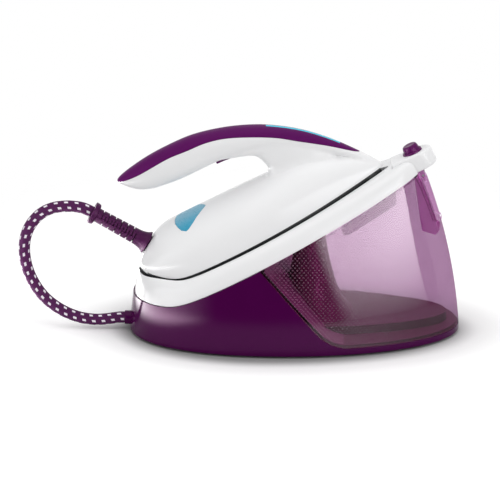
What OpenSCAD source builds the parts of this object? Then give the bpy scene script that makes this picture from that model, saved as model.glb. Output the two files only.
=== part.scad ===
// Steam generator iron: a base with a clear water tank and a tilted platform, and the iron that rests on it.
// Millimetres, +Z up, +X towards the tank's front, origin on the floor under the middle of the object.
// The platform frame has its origin under the iron's heel: x runs along the soleplate, z is its normal.

/* [Base] */
// Length of the base behind its widest section
base_rear = 164.5; // [160:0.5:168]
// Length of the base in front of its widest section
base_front = 196; // [192:0.5:200]
// Half of the base's width at the floor
base_half_w = 95; // [93:1:100]
// Lean of the base's walls for each millimetre of height
wall_lean = 0.07; // [0.06:0.005:0.08]
// Extra lean for each square millimetre of height
wall_crown = 0.0009; // [0.0008:0.00005:0.00095]
// Rounding of the base's lower edge
edge_r = 1.8; // [1:0.2:1.8]
// Thickness of the housing wall
housing_wall = 2.5; // [2:0.25:3]
// Thickness of the base plate
plate_t = 3; // [2:0.25:3.5]
// Height that the feet hold the housing above the floor
foot_h = 2; // [1:0.25:2.5]
// Radius of a rubber foot
foot_r = 9; // [6:0.5:12]
// Height of the floor that the tank stands on
rim_h = 9; // [8.5:0.25:11]
// Radius of the power button
power_r = 11; // [8:0.5:13]
// Travel of the power button
power_travel = 2.5; // [1.5:0.25:3]

/* [Tank] */
// Where the slanted seam crosses the seam height
seam_x = -30; // [-34:1:-26]
// Angle of the seam to the floor
seam_angle = 48; // [44:1:52]
// Radius of the bend where the seam runs out into the rim
seam_r = 50; // [40:1:60]
// Thickness of the tank wall
tank_wall = 2.5; // [2:0.25:3]
// Gap between the tank and what is round it
tank_gap = 0.4; // [0.3:0.05:0.6]
// Half of the filler door's width
door_half_w = 17; // [15:0.5:18]
// Thickness of the filler door
door_t = 4; // [3:0.25:4.5]
// Height of the filler door's lower edge
door_low = 128; // [122:1:134]
// Radius of the door's hinge pin
door_pin_r = 1.2; // [1:0.1:1.4]

/* [Platform] */
// Tilt of the platform and of the soleplate on it
tilt = 27; // [26:0.5:28]
// Height of the soleplate's heel above the floor
heel_z = 44; // [43:0.5:46]
// Depth of the white band below the soleplate's plane
band_drop = 8.4; // [8:0.2:9]
// Height of the tray's rim above the soleplate's plane
rim_rise = 10; // [9:0.25:10.5]
// Level of the white band's lower edge at the rear
band_level = 42.8; // [40:0.2:44]
// Level of the tray's rim at the rear
rim_level = 68.9; // [66:0.1:69.5]
// Thickness of the tray's walls
tray_wall = 2.5; // [2:0.25:3]
// Room between the iron's outline and the tray's recess
recess_gap = 2.5; // [2:0.25:3]
// Depth of the recess floor below the soleplate's plane
recess_floor = 3; // [2.5:0.25:3.5]
// Length of the lock tower
tower_len = 46; // [44:1:48]
// Half of the lock tower's width
tower_half_w = 15; // [14:0.5:16]
// Radius of the lock button
lock_r = 8.9; // [8:0.1:9.5]
// Travel of the lock button
lock_travel = 4; // [3:0.25:4.5]
// Travel of the lock hook
hook_travel = 12; // [10:0.5:13]

/* [Iron] */
// Half of the iron's width
iron_half_w = 59; // [56:0.5:61]
// Distance from the heel to the nose, along the soleplate
nose_x = 284; // [280:1:286]
// Height of the shell's lower edge above the soleplate's plane
edge_rise = 14; // [13:0.25:15]
// Level of the shell's lower edge at the heel
edge_level = 69.1; // [68.5:0.1:71]
// Height of the iron's spine
spine_h = 60.2; // [58:0.2:62]
// Room for the fingers between the spine and the handle
finger_gap = 38.3; // [36:0.1:40]
// Thickness of the handle
handle_t = 40; // [38:0.5:42]
// Half of the handle's width
handle_half_w = 18; // [16:0.5:19]
// Thickness of the shell
shell_wall = 2.5; // [2:0.25:3]
// Thickness of the soleplate
sole_t = 4; // [3:0.25:4.5]
// Radius of a steam hole
steam_hole_r = 1.5; // [1:0.1:2]
// Height of the steam chamber
chamber_h = 14; // [12:0.5:16]
// Radius of the heating element
element_r = 4; // [3:0.25:4.5]
// Radius of the trigger's pin
trigger_pin_r = 1.5; // [1.2:0.1:1.8]
// Half of the trigger's width
trigger_half_w = 6; // [5:0.25:7]
// Travel of the button on the spine
descale_travel = 1.5; // [1:0.25:2]

/* [Hose] */
// Outer radius of the braided hose
hose_r = 6.2; // [5.5:0.1:6.4]
// Length of the strain relief
relief_len = 68.8; // [66:0.2:72]
// Radius of the strain relief's body
relief_r = 8.6; // [8:0.1:9.5]
// Wall radius of the hose's gland in the base
gland_r = 7.6; // [7:0.1:8]

/* [Hidden] */
$fn = 48;

// Clearances
slip = 0.3;
seat = 0.2;
pin_play = 0.05;
past = 1;

// Colours, as the photograph shows them
plum = [0.30, 0.05, 0.28];
purple = [0.42, 0.13, 0.40];
tinted = [0.72, 0.48, 0.70, 0.55];
white = [0.92, 0.92, 0.92];
teal = [0.25, 0.60, 0.72];
cyan = [0.25, 0.78, 0.90];
dark = [0.10, 0.10, 0.11];
steel = [0.72, 0.73, 0.75];
board_green = [0.10, 0.35, 0.20];
copper = [0.72, 0.45, 0.25];

// Egg-shaped body of the base
sides = 64;
body_cx = -9;
rear_round = 2.25;

function taper(z) = wall_lean * z + wall_crown * z * z;

// Point of the body at a turn and a height, inset from its surface
function egg(turn, z, inset = 0) =
    let (c = cos(turn), s = sin(turn))
    let (round = c < 0 ? rear_round : 2, shrink = taper(z) + inset)
    let (reach = (c < 0 ? base_rear : base_front) - shrink, half = base_half_w - shrink)
    [body_cx + sign(c) * reach * pow(abs(c), 2 / round), sign(s) * half * pow(abs(s), 2 / round), z];

function egg_ring(z, inset = 0) = [for (i = [0 : sides - 1]) egg(360 * i / sides, z, inset)];

// Smooth larger value of two, used where a tilted line runs out into a level one
bend = 9;
function smooth_max(a, b) = (a + b + sqrt((a - b) * (a - b) + bend * bend)) / 2;

// Side-view lines that follow the platform and level off at the rear
heel_x = -144;
function line_z(x, rise, level) =
    smooth_max(heel_z + (x - heel_x) * tan(tilt) + rise / cos(tilt), level);

// Lines of the white band, at a share of the way from its lower edge to the rim
heel_line_x = -119;
heel_fall = 0.16;
band_lean = 0.0217;
rim_lean = 0.0135;
function band_part(share) = min(max(share, 0), 1);
function band_rise(share) = -band_drop + share * (rim_rise + band_drop);
function band_at(share) = band_level + share * (rim_level - band_level);
function band_z(x, share, drop = 0) =
    let (f = band_part(share), lean = band_lean + f * (rim_lean - band_lean))
    smooth_max(
        heel_z + (x - heel_x) * tan(tilt) + (band_rise(share) - drop) / cos(tilt) + lean * x,
        band_at(share) - drop + f * heel_fall * (heel_line_x - x)
    );

function on_line(turn, share, drop = 0, inset = 0, z = 100, passes = 8) =
    passes == 0 ? egg(turn, z, inset)
    : on_line(turn, share, drop, inset, band_z(egg(turn, z, inset)[0], share, drop), passes - 1);

function band_ring(share, inset) = [for (i = [0 : sides - 1]) on_line(360 * i / sides, share, 0, inset)];

// Ring at a share of the way from a height up to the white band's lower edge
function wall_ring(share, low, drop, inset) = [
    for (i = [0 : sides - 1])
        let (turn = 360 * i / sides, top = on_line(turn, 0, drop, inset)[2])
        egg(turn, low + share * (top - low), inset)
];
wall_steps = 6;
function wall_rings(low, drop, inset) =
    [for (k = [0 : wall_steps]) wall_ring(k / wall_steps, low, drop, inset)];

// Solid through a list of rings, each with its points in mirrored pairs
function flat(lists) = [for (l = lists) for (p = l) p];
function strip(n, first, up) = [
    for (i = [0 : n / 2 - 1], k = [0, 1])
        if ((k == 0 && i < n / 2 - 1) || (k == 1 && i > 0))
            let (t = first * [1, 1, 1] + (k == 0 ? [i, i + 1, n - i - 1] : [i, n - i - 1, n - i]))
            up ? [t[0], t[2], t[1]] : t
];
function skin(m, n) = concat(
    [for (j = [0 : m - 2], i = [0 : n - 1], k = [0, 1])
        let (a = j * n + i, b = j * n + (i + 1) % n)
        k == 0 ? [a, a + n, b + n] : [a, b + n, b]],
    strip(n, 0, false),
    strip(n, (m - 1) * n, true)
);
module loft(rings) {
    polyhedron(points = flat(rings), faces = skin(len(rings), len(rings[0])));
}

// A moulded shell is one smooth-skinned piece, kept at its own size
module moulding() {
    resize([0, 0, 0]) children();
}

module side_cut(points, width = 300) {
    rotate([90, 0, 0])
        linear_extrude(width, center = true)
            polygon(points);
}

far = 260;
function above_line(rise, level) =
    concat([for (x = [-far : 10 : far]) [x, line_z(x, rise, level)]], [[far, 2 * far], [-far, 2 * far]]);

// Region in front of the slanted seam, moved forwards by a gap
seam_z = 92;
seam_bend_steps = 6;
function seam(gap) =
    let (along = [cos(seam_angle), -sin(seam_angle)], low = rim_h + gap, r = seam_r - gap)
    let (start = [seam_x, seam_z] + gap * [sin(seam_angle), cos(seam_angle)])
    let (corner = start + along * (start[1] - low) / sin(seam_angle))
    let (centre = [corner[0] + r * tan(seam_angle / 2), low + r])
    concat(
        [start - along * 200],
        [for (i = [0 : seam_bend_steps])
            let (turn = 270 - seam_angle * (1 - i / seam_bend_steps))
            centre + r * [cos(turn), sin(turn)]],
        [[far, low], [far, 2 * far]]
    );

// Things on the tilted platform
module on_platform() {
    translate([heel_x, 0, heel_z])
        rotate([0, -tilt, 0])
            children();
}

// Tube along a list of points
function unit(v) = v / norm(v);
function heading(path, i) = unit(path[min(i + 1, len(path) - 1)] - path[max(i - 1, 0)]);
function tube_ring(path, i, r, n) =
    let (along = heading(path, i), side = unit(cross(along, [0, 1, 0.001])), up = cross(side, along))
    [for (k = [0 : n - 1]) path[i] + r * (sin(360 * k / n) * up + cos(360 * k / n) * side)];
module tube(path, r, n = 10) {
    rings = [for (i = [0 : len(path) - 1]) tube_ring(path, i, r, n)];
    m = len(rings);
    walls = [for (j = [0 : m - 2], i = [0 : n - 1], k = [0, 1])
        let (a = j * n + i, b = j * n + (i + 1) % n)
        k == 0 ? [a, b + n, a + n] : [a, b, b + n]];
    start = [for (i = [1 : n - 2]) [0, i + 1, i]];
    end = [for (i = [1 : n - 2]) [(m - 1) * n, (m - 1) * n + i, (m - 1) * n + i + 1]];
    polyhedron(points = flat(rings), faces = concat(walls, start, end));
}

// Smooth curve through a few points, by x
function slope(p, i) =
    let (a = p[max(i - 1, 0)], b = p[min(i + 1, len(p) - 1)])
    (b[1] - a[1]) / (b[0] - a[0]);
function curve(p, x) =
    let (i = max(0, min(len(p) - 2, len([for (q = p) if (q[0] <= x) 1]) - 1)))
    let (w = p[i + 1][0] - p[i][0], t = (x - p[i][0]) / w)
    p[i][1] * (1 + 2 * t) * (1 - t) * (1 - t) + p[i + 1][1] * t * t * (3 - 2 * t)
        + w * t * (1 - t) * (slope(p, i) * (1 - t) - slope(p, i + 1) * t);

// Iron: outline of its lower edge, in the platform frame
heel_end = -2;
wide_x = 100;
heel_round = 2.6;
function iron_w(x) =
    x < wide_x
        ? iron_half_w * pow(max(1 - pow((wide_x - x) / (wide_x - heel_end), heel_round), 0), 1 / heel_round)
        : iron_half_w * max(1 - pow((x - wide_x) / (nose_x - wide_x), 2), 0);
outline_steps = 20;
outline_x = [
    for (i = [0 : outline_steps]) heel_end + (nose_x - heel_end) * (1 - cos(180 * i / outline_steps)) / 2
];
iron_outline = concat(
    [for (x = outline_x) [x, -iron_w(x)]],
    [for (i = [1 : outline_steps - 1]) [outline_x[outline_steps - i], iron_w(outline_x[outline_steps - i])]]
);
module outline(grow) {
    offset(delta = grow)
        polygon(iron_outline);
}
module slab(grow, low, high) {
    translate([0, 0, low])
        linear_extrude(high - low)
            outline(grow);
}

// Iron: dome of the shell
edge_lean = 0.0159;
edge_fall = 0.685;
function edge_z(x) =
    smooth_max(edge_rise + edge_lean * (x - nose_x + 54),
        (edge_level - heel_z) / cos(tilt) + 5.9 - edge_fall * x);
rear_slope = 48;
beak_x = 190;
beak_rise = 3;
function dome_z(x) =
    x < heel_end + rear_slope
        ? spine_h - (spine_h - edge_z(heel_end) - 0.8) * pow(1 - (x - heel_end) / rear_slope, 1.75)
        : x < beak_x ? spine_h
        : spine_h - (spine_h - edge_rise - beak_rise) * pow((x - beak_x) / (nose_x - beak_x), 2);
dome_round = 2.6;
dome_sides = 28;
dome_steps = 22;
function dome_ring(x, inset, low) =
    let (w = max(iron_w(x) - inset, 0.4), top = max(dome_z(x) - inset, low + 0.4))
    [for (k = [0 : dome_sides - 1])
        let (turn = 360 * k / dome_sides, s = sin(turn), c = cos(turn))
        let (lower = c < 0)
        [x, -sign(s) * w * (lower ? 1 - asin(-c) / 90 : pow(abs(s), 2 / dome_round)),
            lower ? low : low + (top - low) * pow(c, 2 / dome_round)]];
function dome_span(start, end) =
    [for (i = [0 : dome_steps]) start + (end - start) * (1 - cos(180 * i / dome_steps)) / 2];
module dome(inset = 0) {
    loft([for (x = dome_span(heel_end + 0.4 + inset, nose_x - 2 - 2 * inset))
        dome_ring(x, inset, edge_z(x) - (inset > 0 ? past : 0))]);
}

// Iron: handle, which runs down to the nose
tail_x = 19;
post_x = 171.5;
under_z = spine_h + finger_gap;
top_z = under_z + handle_t;
handle_top = [
    [tail_x, top_z - 10.3], [tail_x + 5, top_z - 8.2], [tail_x + 16, top_z - 5.4], [tail_x + 41, top_z - 1.8],
    [tail_x + 65, top_z - 0.8], [nose_x - 171, top_z - 2],
    [nose_x - 143, top_z - 8], [nose_x - 118, top_z - 16.5],
    [nose_x - 93, top_z - 28.5], [nose_x - 63, top_z - 49],
    [nose_x - 39, top_z - 72], [nose_x - 16, edge_rise + 24.5],
    [nose_x - 2, edge_rise + 5]
];
handle_under = [
    [tail_x, top_z - 11.3], [tail_x + 7, under_z + 20],
    [tail_x + 17, under_z + 10.8], [tail_x + 30, under_z + 5],
    [tail_x + 44, under_z + 2.5], [tail_x + 66, under_z + 0.5], [tail_x + 106, under_z + 0.4],
    [post_x - 31, under_z - 1.5], [post_x - 8, under_z - 6], [post_x + 20, under_z - 15],
    [nose_x - 63, under_z - 33], [nose_x - 39, under_z - 51], [nose_x - 16, edge_rise + 13],
    [nose_x - 2, edge_rise + 0.2]
];
handle_width = [
    [tail_x, 0.1], [tail_x + 5, 0.42], [tail_x + 16, 0.68], [tail_x + 41, 0.9], [tail_x + 81, 1],
    [post_x - 21, 0.96], [post_x + 20, 0.86], [nose_x - 54, 0.66], [nose_x - 22, 0.4], [nose_x - 2, 0.1]
];
handle_round = 2.3;
handle_sides = 20;
handle_x = concat(
    [0.5, 3, 7, 12, 19, 29, 41, 56, 73, 90, 106] + tail_x * [for (i = [0 : 10]) 1],
    [-31, -19, -8, 2, 12, 20, 30] + post_x * [for (i = [0 : 6]) 1],
    [-72, -56, -40, -27, -15, -7, -2] + nose_x * [for (i = [0 : 6]) 1]
);
function handle_ring(x, inset) =
    let (top = curve(handle_top, x) - inset, low = min(curve(handle_under, x) + inset, top - 0.4))
    let (half = max(handle_half_w * curve(handle_width, x) - inset, 0.3))
    [for (k = [0 : handle_sides - 1])
        let (turn = 360 * k / handle_sides, s = sin(turn), c = cos(turn))
        let (z = (top + low) / 2 + (top - low) / 2 * sign(c) * pow(abs(c), 2 / handle_round))
        [x, -sign(s) * half * pow(abs(s), 2 / handle_round), z]];
module handle(inset = 0) {
    margin = inset > 0 ? 2.5 * inset : 0;
    loft([for (x = handle_x) if (x >= tail_x + margin && x <= nose_x - 2 - 2 * margin) handle_ring(x,
        inset)]);
}

// Iron: post between the spine and the handle, in rows of height, rear end, front end and half width
post_rows = [
    [spine_h - 8, post_x - 19.5, nose_x - 32, 17], [spine_h - 3, post_x - 12.5, nose_x - 36, 15.5],
    [spine_h + 1, post_x - 6, nose_x - 40, 14.4], [spine_h + 5, post_x - 1.7, nose_x - 44, 13.8],
    [spine_h + 10, post_x, nose_x - 48, 13.5], [spine_h + 17, post_x - 1.9, nose_x - 56, 13.5],
    [under_z - 14, post_x - 4.9, nose_x - 62, 13.6], [under_z - 10.5, post_x - 8.5, nose_x - 67, 13.8],
    [under_z - 6.3, post_x - 18, nose_x - 76, 14], [under_z - 2.5, post_x - 30.5, nose_x - 81, 13.5],
    [under_z + 1.5, post_x - 45, nose_x - 88, 12]
];
post_round = 3;
post_sides = 24;
module post(inset = 0) {
    loft([for (r = post_rows)
        let (centre = (r[1] + r[2]) / 2, reach = (r[2] - r[1]) / 2 - inset, half = r[3] - inset)
        [for (k = [0 : post_sides - 1])
            let (turn = 360 * k / post_sides, c = cos(turn), s = sin(turn))
            [centre + sign(c) * reach * pow(abs(c), 2 / post_round),
                sign(s) * half * pow(abs(s), 2 / post_round), r[0]]]]);
}

// Line where the soft grip meets the white shell
grip_end = nose_x - 14;
grip_line = [
    [tail_x - 5, top_z - 11.2], [tail_x + 5, top_z - 12.6],
    [tail_x + 24, top_z - 13.4], [tail_x + 63, top_z - 10.6],
    [tail_x + 85, top_z - 11.8], [nose_x - 158, top_z - 13.2], [nose_x - 137, top_z - 18.2],
    [nose_x - 112, top_z - 29], [nose_x - 88, top_z - 42.3],
    [nose_x - 71, top_z - 55], [nose_x - 43, edge_rise + 48.3],
    [nose_x - 16, edge_rise + 25], [grip_end + 10, edge_rise + 18]
];
grip_steps = 40;
module grip_side() {
    first = grip_line[0][0];
    last = grip_line[len(grip_line) - 1][0];
    line = [for (i = [0 : grip_steps])
        let (x = first + (last - first) * i / grip_steps)
        [x, curve(grip_line, x)]];
    side_cut(concat(line, [[last, 2 * top_z], [first, 2 * top_z]]), 120);
}

// Outline of the press button on the spine, from above
button_mid = 67;
button_half_w = 39;
button_tip = 91;
button_back = 54.5;
button_corner = 3;
module button_outline(grow) {
    offset(r = button_corner + grow)
        offset(delta = -button_corner)
            polygon([
                [button_back, 0], [button_back + 4, -25], [button_mid, -button_half_w], [button_tip, -2],
                [button_tip, 2], [button_mid, button_half_w], [button_back + 4, 25]
            ]);
}
module button_hole(grow) {
    translate([0, 0, edge_rise + 10])
        linear_extrude(spine_h)
            button_outline(grow);
}

// Indicator strip in the top of the grip
strip_from = 190;
strip_to = 252;
strip_half_w = 2.6;
strip_t = 1.4;
module strip_side(grow) {
    translate([strip_from - grow, -strip_half_w - grow, edge_rise])
        cube([strip_to - strip_from + 2 * grow, 2 * (strip_half_w + grow), top_z]);
}

// Steam trigger under the handle
trigger_from = 125;
trigger_to = 155;
trigger_pin_x = 152;
trigger_pin_z = under_z + 2.5;
trigger_drop = 1.2;
trigger_swing = 6;
trigger_room = slip + (trigger_pin_z - under_z + trigger_drop) * sin(trigger_swing);

// Lock tower at the platform's front, clear of the iron's nose
front_x = body_cx + base_front;
nose_room = 6;
tower_ahead = 41;
tower_x = max(nose_x + nose_room, (front_x - heel_x) * cos(tilt) + tower_ahead - tower_len);
tower_top = rim_rise + 5.6;
tower_fall = 2.6;
tower_end = heel_x + (tower_x + tower_len) * cos(tilt);
tower_low = -band_drop + band_lean * tower_end * cos(tilt) + slip;
tower_wall = 2.2;
tower_room = rim_rise - 0.7;
button_x = tower_x + tower_len - 20;
button_top = rim_rise + 13;
button_low = 4;
collar_low = rim_rise - 0.5;
collar_top = rim_rise + 5.6;
collar_t = 1.4;
hook_half_w = 2.4;
hook_low = 5.6;
hook_high = 8.8;
hook_tip = nose_x + 2.8;
hook_len = tower_x + 14.3 - hook_tip;
hook_leg = 3;
lock_plate_t = 1.5;
module stadium(grow, low, high) {
    r = tower_half_w + grow;
    translate([0, 0, low])
        linear_extrude(high - low)
            union() {
                translate([tower_x - grow, -r])
                    square([tower_len - tower_half_w + grow, 2 * r]);
                translate([tower_x + tower_len - tower_half_w, 0])
                    circle(r);
            }
}
module hook_slot(room) {
    translate([nose_x - 14, -hook_half_w - room, hook_low - room])
        cube([
            tower_x + tower_wall + past - nose_x + 14, 2 * (hook_half_w + room),
            hook_high - hook_low + 2 * room
        ]);
}

// Filler door hinge, in the room under the lock tower
hinge_in = 3.619;
hinge_drop = 5.6494;
hinge_point = on_line(0, 0, hinge_drop, hinge_in);
hinge_x = hinge_point[0];
hinge_z = hinge_point[2];
hinge_r = 2.5;
hinge_half = 8;
lug_t = 3;
door_high = hinge_z - 1.5;
lip_out = 2.5;
lip_h = 3;
lip_half = 9;
pocket_half_w = 13;
pocket_low = 112.5;

// Braided hose: points chosen by hand along its sag, from the base to the iron
hose_y = -8;
gland_z = 13;
gland_out = 6;
relief_root = [-152.4, 0, 96.3];
relief_tilt = 30;
relief_axis = [-cos(relief_tilt), 0, sin(relief_tilt)];
relief_end = relief_root + relief_len * relief_axis;
gland_face = [egg(180, gland_z)[0] - gland_out, hose_y, gland_z];
hose_route = [
    gland_face + [-slip, 0, 0], gland_face + [-5, 0, 0], [-186, -8, 12.7], [-191, -8, 12], [-196, -8, 11.2],
    [-203, -8, 10.4], [-211, -8, 10.2], [-220, -7.8, 11], [-229, -7.5, 12.8], [-241, -7, 17.2],
    [-252.5, -6, 23.5], [-262.8, -5, 31.5], [-271, -4.5, 41], [-277.3, -4, 51.5], [-282.3, -3.5, 63],
    [-285.4, -3, 75.5], [-286.5, -2, 88], [-285.2, -1.5, 100.5], [-281, -1, 112.5], [-273.6, 0, 123],
    [-264.3, 0, 130.8], [-253, 0, 135.6], [-240.5, 0, 137.3], [-230.5, 0, 137], [-222.5, 0, 135.6],
    relief_end + (slip + 4) * relief_axis, relief_end + slip * relief_axis
];

// Pump and electrics in the rear housing
pump_x = -118;
pump_y = base_half_w - 43;
pump_z = 30;
pump_r = 14;
pump_len = 56;
coil_w = 34;
tube_r = 4;
valve_r = 5;
valve_from = 20;
valve_to = 36;
board_x = -118;
board_y = -30;
board_len = 80;
board_w = 46;
board_t = 1.6;
board_z = 14;
post_r = 3;
power_x = -60;
power_z = 30;
mains_y = 40;
mains_z = 18;
mains_r = 8;
plate_z = foot_h + plate_t;
foot_rear = [body_cx - base_rear + 53, base_half_w - 43];
foot_front = [body_cx + base_front - 73, base_half_w - 49];
foot_spots = [for (p = [foot_rear, foot_front], side = [-1, 1]) [p[0], side * p[1]]];
screw_side = base_half_w - 17;
screw_spots = [
    [-60, -screw_side], [-60, screw_side], [60, -screw_side + 2], [60, screw_side - 2],
    [body_cx + base_front - 35, 0], [body_cx - base_rear + 25, -20]
];
screw_r = 2;
screw_head_r = 3.8;

// Height of the inside of the iron
cover_t = 2.5;
chamber_inset = 14;
chamber_top = sole_t + chamber_h;
cover_top = chamber_top + cover_t;
shield_low = sole_t + seat;
cover_screw_spots = [[48, -33], [48, 33], [170, -29], [170, 29]];
element_half = 22;
element_from = 36;
element_to = 150;
board_post_h = 18;
iron_board_t = 1.6;
iron_board_x = 98;
iron_board_len = 54;
iron_board_w = 48;
iron_board_spots = [
    for (dx = [6, iron_board_len - 6], side = [-1, 1]) [iron_board_x + dx, side * (iron_board_w / 2 - 6)]
];
carrier_low = top_z - 27;
carrier_t = 2;

module base_housing() {
    wall_y = egg(90, power_z)[1];
    color(plum)
        moulding()
            difference() {
                loft(concat(
                    [for (k = [0, 30, 60]) egg_ring(foot_h + edge_r * (1 - cos(k)), edge_r * (1 - sin(k)))],
                    wall_rings(foot_h + edge_r, slip, 0)
                ));
                difference() {
                    loft(wall_rings(-past, -2, housing_wall));
                    side_cut(seam(-housing_wall));
                }
                side_cut(seam(0));
                translate([egg(180, gland_z)[0] - past, hose_y, gland_z])
                    rotate([0, 90, 0])
                        cylinder(r = gland_r + seat, h = 20);
                translate([egg(180, mains_z)[0] - past, mains_y, mains_z])
                    rotate([0, 90, 0])
                        cylinder(r = mains_r + seat, h = 40);
                translate([power_x, wall_y - 20, power_z])
                    rotate([-90, 0, 0])
                        cylinder(r = power_r + slip, h = 40);
                translate([valve_from - past, pump_y, pump_z])
                    rotate([0, 90, 0])
                        cylinder(r = valve_r + seat, h = valve_to - valve_from);
            }
}

module base_plate() {
    color(plum)
        difference() {
            union() {
                moulding()
                    loft([egg_ring(foot_h, housing_wall + slip + 0.6),
                        egg_ring(plate_z, housing_wall + slip)]);
                for (dx = [6, board_len - 6], dy = [6, board_w - 6])
                    translate([board_x + dx, board_y - board_w / 2 + dy, foot_h + past])
                        cylinder(r = post_r, h = board_z - foot_h - past);
            }
            for (p = screw_spots)
                translate([p[0], p[1], foot_h - past])
                    cylinder(r = screw_r + pin_play, h = plate_t + 2 * past);
        }
}

module rubber_feet() {
    color(dark)
        for (p = foot_spots)
            translate([p[0], p[1], 0])
                cylinder(r1 = foot_r - 1, r2 = foot_r, h = foot_h);
}

module base_screws() {
    color(steel)
        for (p = screw_spots)
            translate([p[0], p[1], 0]) {
                translate([0, 0, foot_h - 1])
                    cylinder(r = screw_head_r, h = 1);
                translate([0, 0, foot_h - 0.5])
                    cylinder(r = screw_r, h = plate_t);
            }
}

// White tray that holds the iron, with a rounded shoulder
band_share = [0, 0.45, 0.7, 0.85, 0.95, 1];
band_inset = [1.5, 1.5, 1.9, 3.3, 5.5, 8.5];
module platform_tray() {
    outer = [for (i = [0 : len(band_share) - 1]) band_ring(band_share[i], band_inset[i])];
    top_share = 1 - tray_wall / (rim_rise + band_drop);
    color(white)
        moulding()
            difference() {
                union() {
                    difference() {
                        loft(outer);
                        loft([band_ring(-0.2, tray_wall + band_inset[0]),
                            band_ring(0.45, tray_wall + band_inset[0]),
                            band_ring(top_share, tray_wall + band_inset[0] + 2)]);
                    }
                    intersection() {
                        loft(concat([egg_ring(24, housing_wall + past)], outer));
                        on_platform()
                            slab(recess_gap + tray_wall, -recess_floor - tray_wall, top_z);
                    }
                }
                on_platform() {
                    slab(recess_gap, -recess_floor, 2 * top_z);
                    stadium(seat, -band_drop - 4, 2 * top_z);
                    hook_slot(slip);
                }
            }
}

pad_spots = [40, 170];
pad_mid = 17;
pad_len = 50;
pad_w = 18;
module rest_pads() {
    color(dark)
        on_platform()
            for (x = pad_spots, side = [-1, 1])
                translate([x, side * pad_mid - pad_w / 2, -recess_floor])
                    cube([pad_len, pad_w, recess_floor - slip]);
}

module lock_tower() {
    color(white)
        on_platform()
            difference() {
                stadium(0, tower_low, tower_top);
                stadium(-tower_wall, tower_low - past, tower_room);
                side_cut([
                    [tower_x - past, tower_top], [tower_x + tower_len + past, tower_top - tower_fall],
                    [tower_x + tower_len + past, top_z], [tower_x - past, top_z]
                ], 4 * tower_half_w);
                translate([button_x, 0, 0])
                    cylinder(r = lock_r + slip + collar_t + seat, h = top_z);
                hook_slot(slip);
            }
}

// Place of the door's hinge in the platform frame
function to_platform(x, z) = [
    (x - heel_x) * cos(tilt) + (z - heel_z) * sin(tilt),
    (z - heel_z) * cos(tilt) - (x - heel_x) * sin(tilt)
];
hinge_at = to_platform(hinge_x, hinge_z);
module hinge_lugs() {
    for (side = [-1, 1])
        translate([hinge_at[0], side * (hinge_half + slip + lug_t / 2), 0]) {
            translate([-hinge_r, -lug_t / 2, hinge_at[1]])
                cube([2 * hinge_r, lug_t, tower_low - hinge_at[1] + past]);
            translate([0, lug_t / 2, hinge_at[1]])
                rotate([90, 0, 0])
                    cylinder(r = hinge_r, h = lug_t);
        }
}
module hinge_bore() {
    translate([hinge_at[0], 0, hinge_at[1]])
        rotate([90, 0, 0])
            cylinder(r = door_pin_r, h = 4 * tower_half_w, center = true);
}

module lock_button() {
    color(purple)
        on_platform()
            translate([button_x, 0, 0])
                rotate_extrude()
                    polygon([
                        [0, button_low], [lock_r, button_low], [lock_r, button_top - 3.4],
                        [lock_r - 1, button_top - 1.4], [lock_r - 3, button_top - 0.3], [0, button_top]
                    ]);
}

module lock_collar() {
    color(purple)
        on_platform()
            translate([button_x, 0, 0])
                rotate_extrude()
                    translate([lock_r + slip, collar_low])
                        square([collar_t, collar_top - collar_low]);
}

module lock_hook() {
    color([0.6, 0.6, 0.62])
        on_platform()
            union() {
                translate([hook_tip, -hook_half_w, hook_low])
                    cube([hook_len, 2 * hook_half_w, hook_high - hook_low]);
                translate([hook_tip + hook_len - hook_leg, -hook_half_w, hook_low - 5])
                    cube([hook_leg, 2 * hook_half_w, 7]);
            }
}

spring_turns = 5;
function helix(x, y, low, high, r) = [
    for (i = [0 : 8 * spring_turns])
        [x + r * cos(45 * i), y + r * sin(45 * i), low + (high - low) * i / (8 * spring_turns)]
];
module lock_spring() {
    wire = 0.5;
    color(steel)
        on_platform()
            tube(helix(button_x, 0, tower_low + lock_plate_t + wire + seat, button_low - wire - seat, 5),
                wire, 6);
}

module lock_plate() {
    color(white)
        on_platform()
            difference() {
                union() {
                    stadium(-tower_wall - seat, tower_low, tower_low + lock_plate_t);
                    hinge_lugs();
                }
                hinge_bore();
            }
}

// Dark pillar inside the tank that carries the platform, wide at its foot
pillar_rows = [
    [rim_h, -20, 86, base_half_w - 35], [rim_h + 11, -12, 70, base_half_w - 47],
    [rim_h + 31, -2, 54, base_half_w - 59], [rim_h + 61, 6, 44, base_half_w - 68],
    [rim_h + 96, 9, 37, base_half_w - 73], [rim_h + 141, 10, 34, base_half_w - 75]
];
pillar_sides = 32;
module pillar(grow, low) {
    foot = pillar_rows[0];
    rows = low < foot[0] ? concat([[low, foot[1], foot[2], foot[3]]], pillar_rows) : pillar_rows;
    loft([for (r = rows)
        let (centre = (r[1] + r[2]) / 2, reach = (r[2] - r[1]) / 2 + grow, half = r[3] + grow)
        [for (k = [0 : pillar_sides - 1])
            let (turn = 360 * k / pillar_sides)
            [centre + reach * cos(turn), half * sin(turn), r[0]]]]);
}
module center_pillar() {
    color(plum)
        moulding()
            difference() {
                intersection() {
                    pillar(0, rim_h);
                    side_cut(seam(0));
                }
                side_cut(above_line(-recess_floor - tray_wall - slip, band_level));
            }
}

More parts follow.
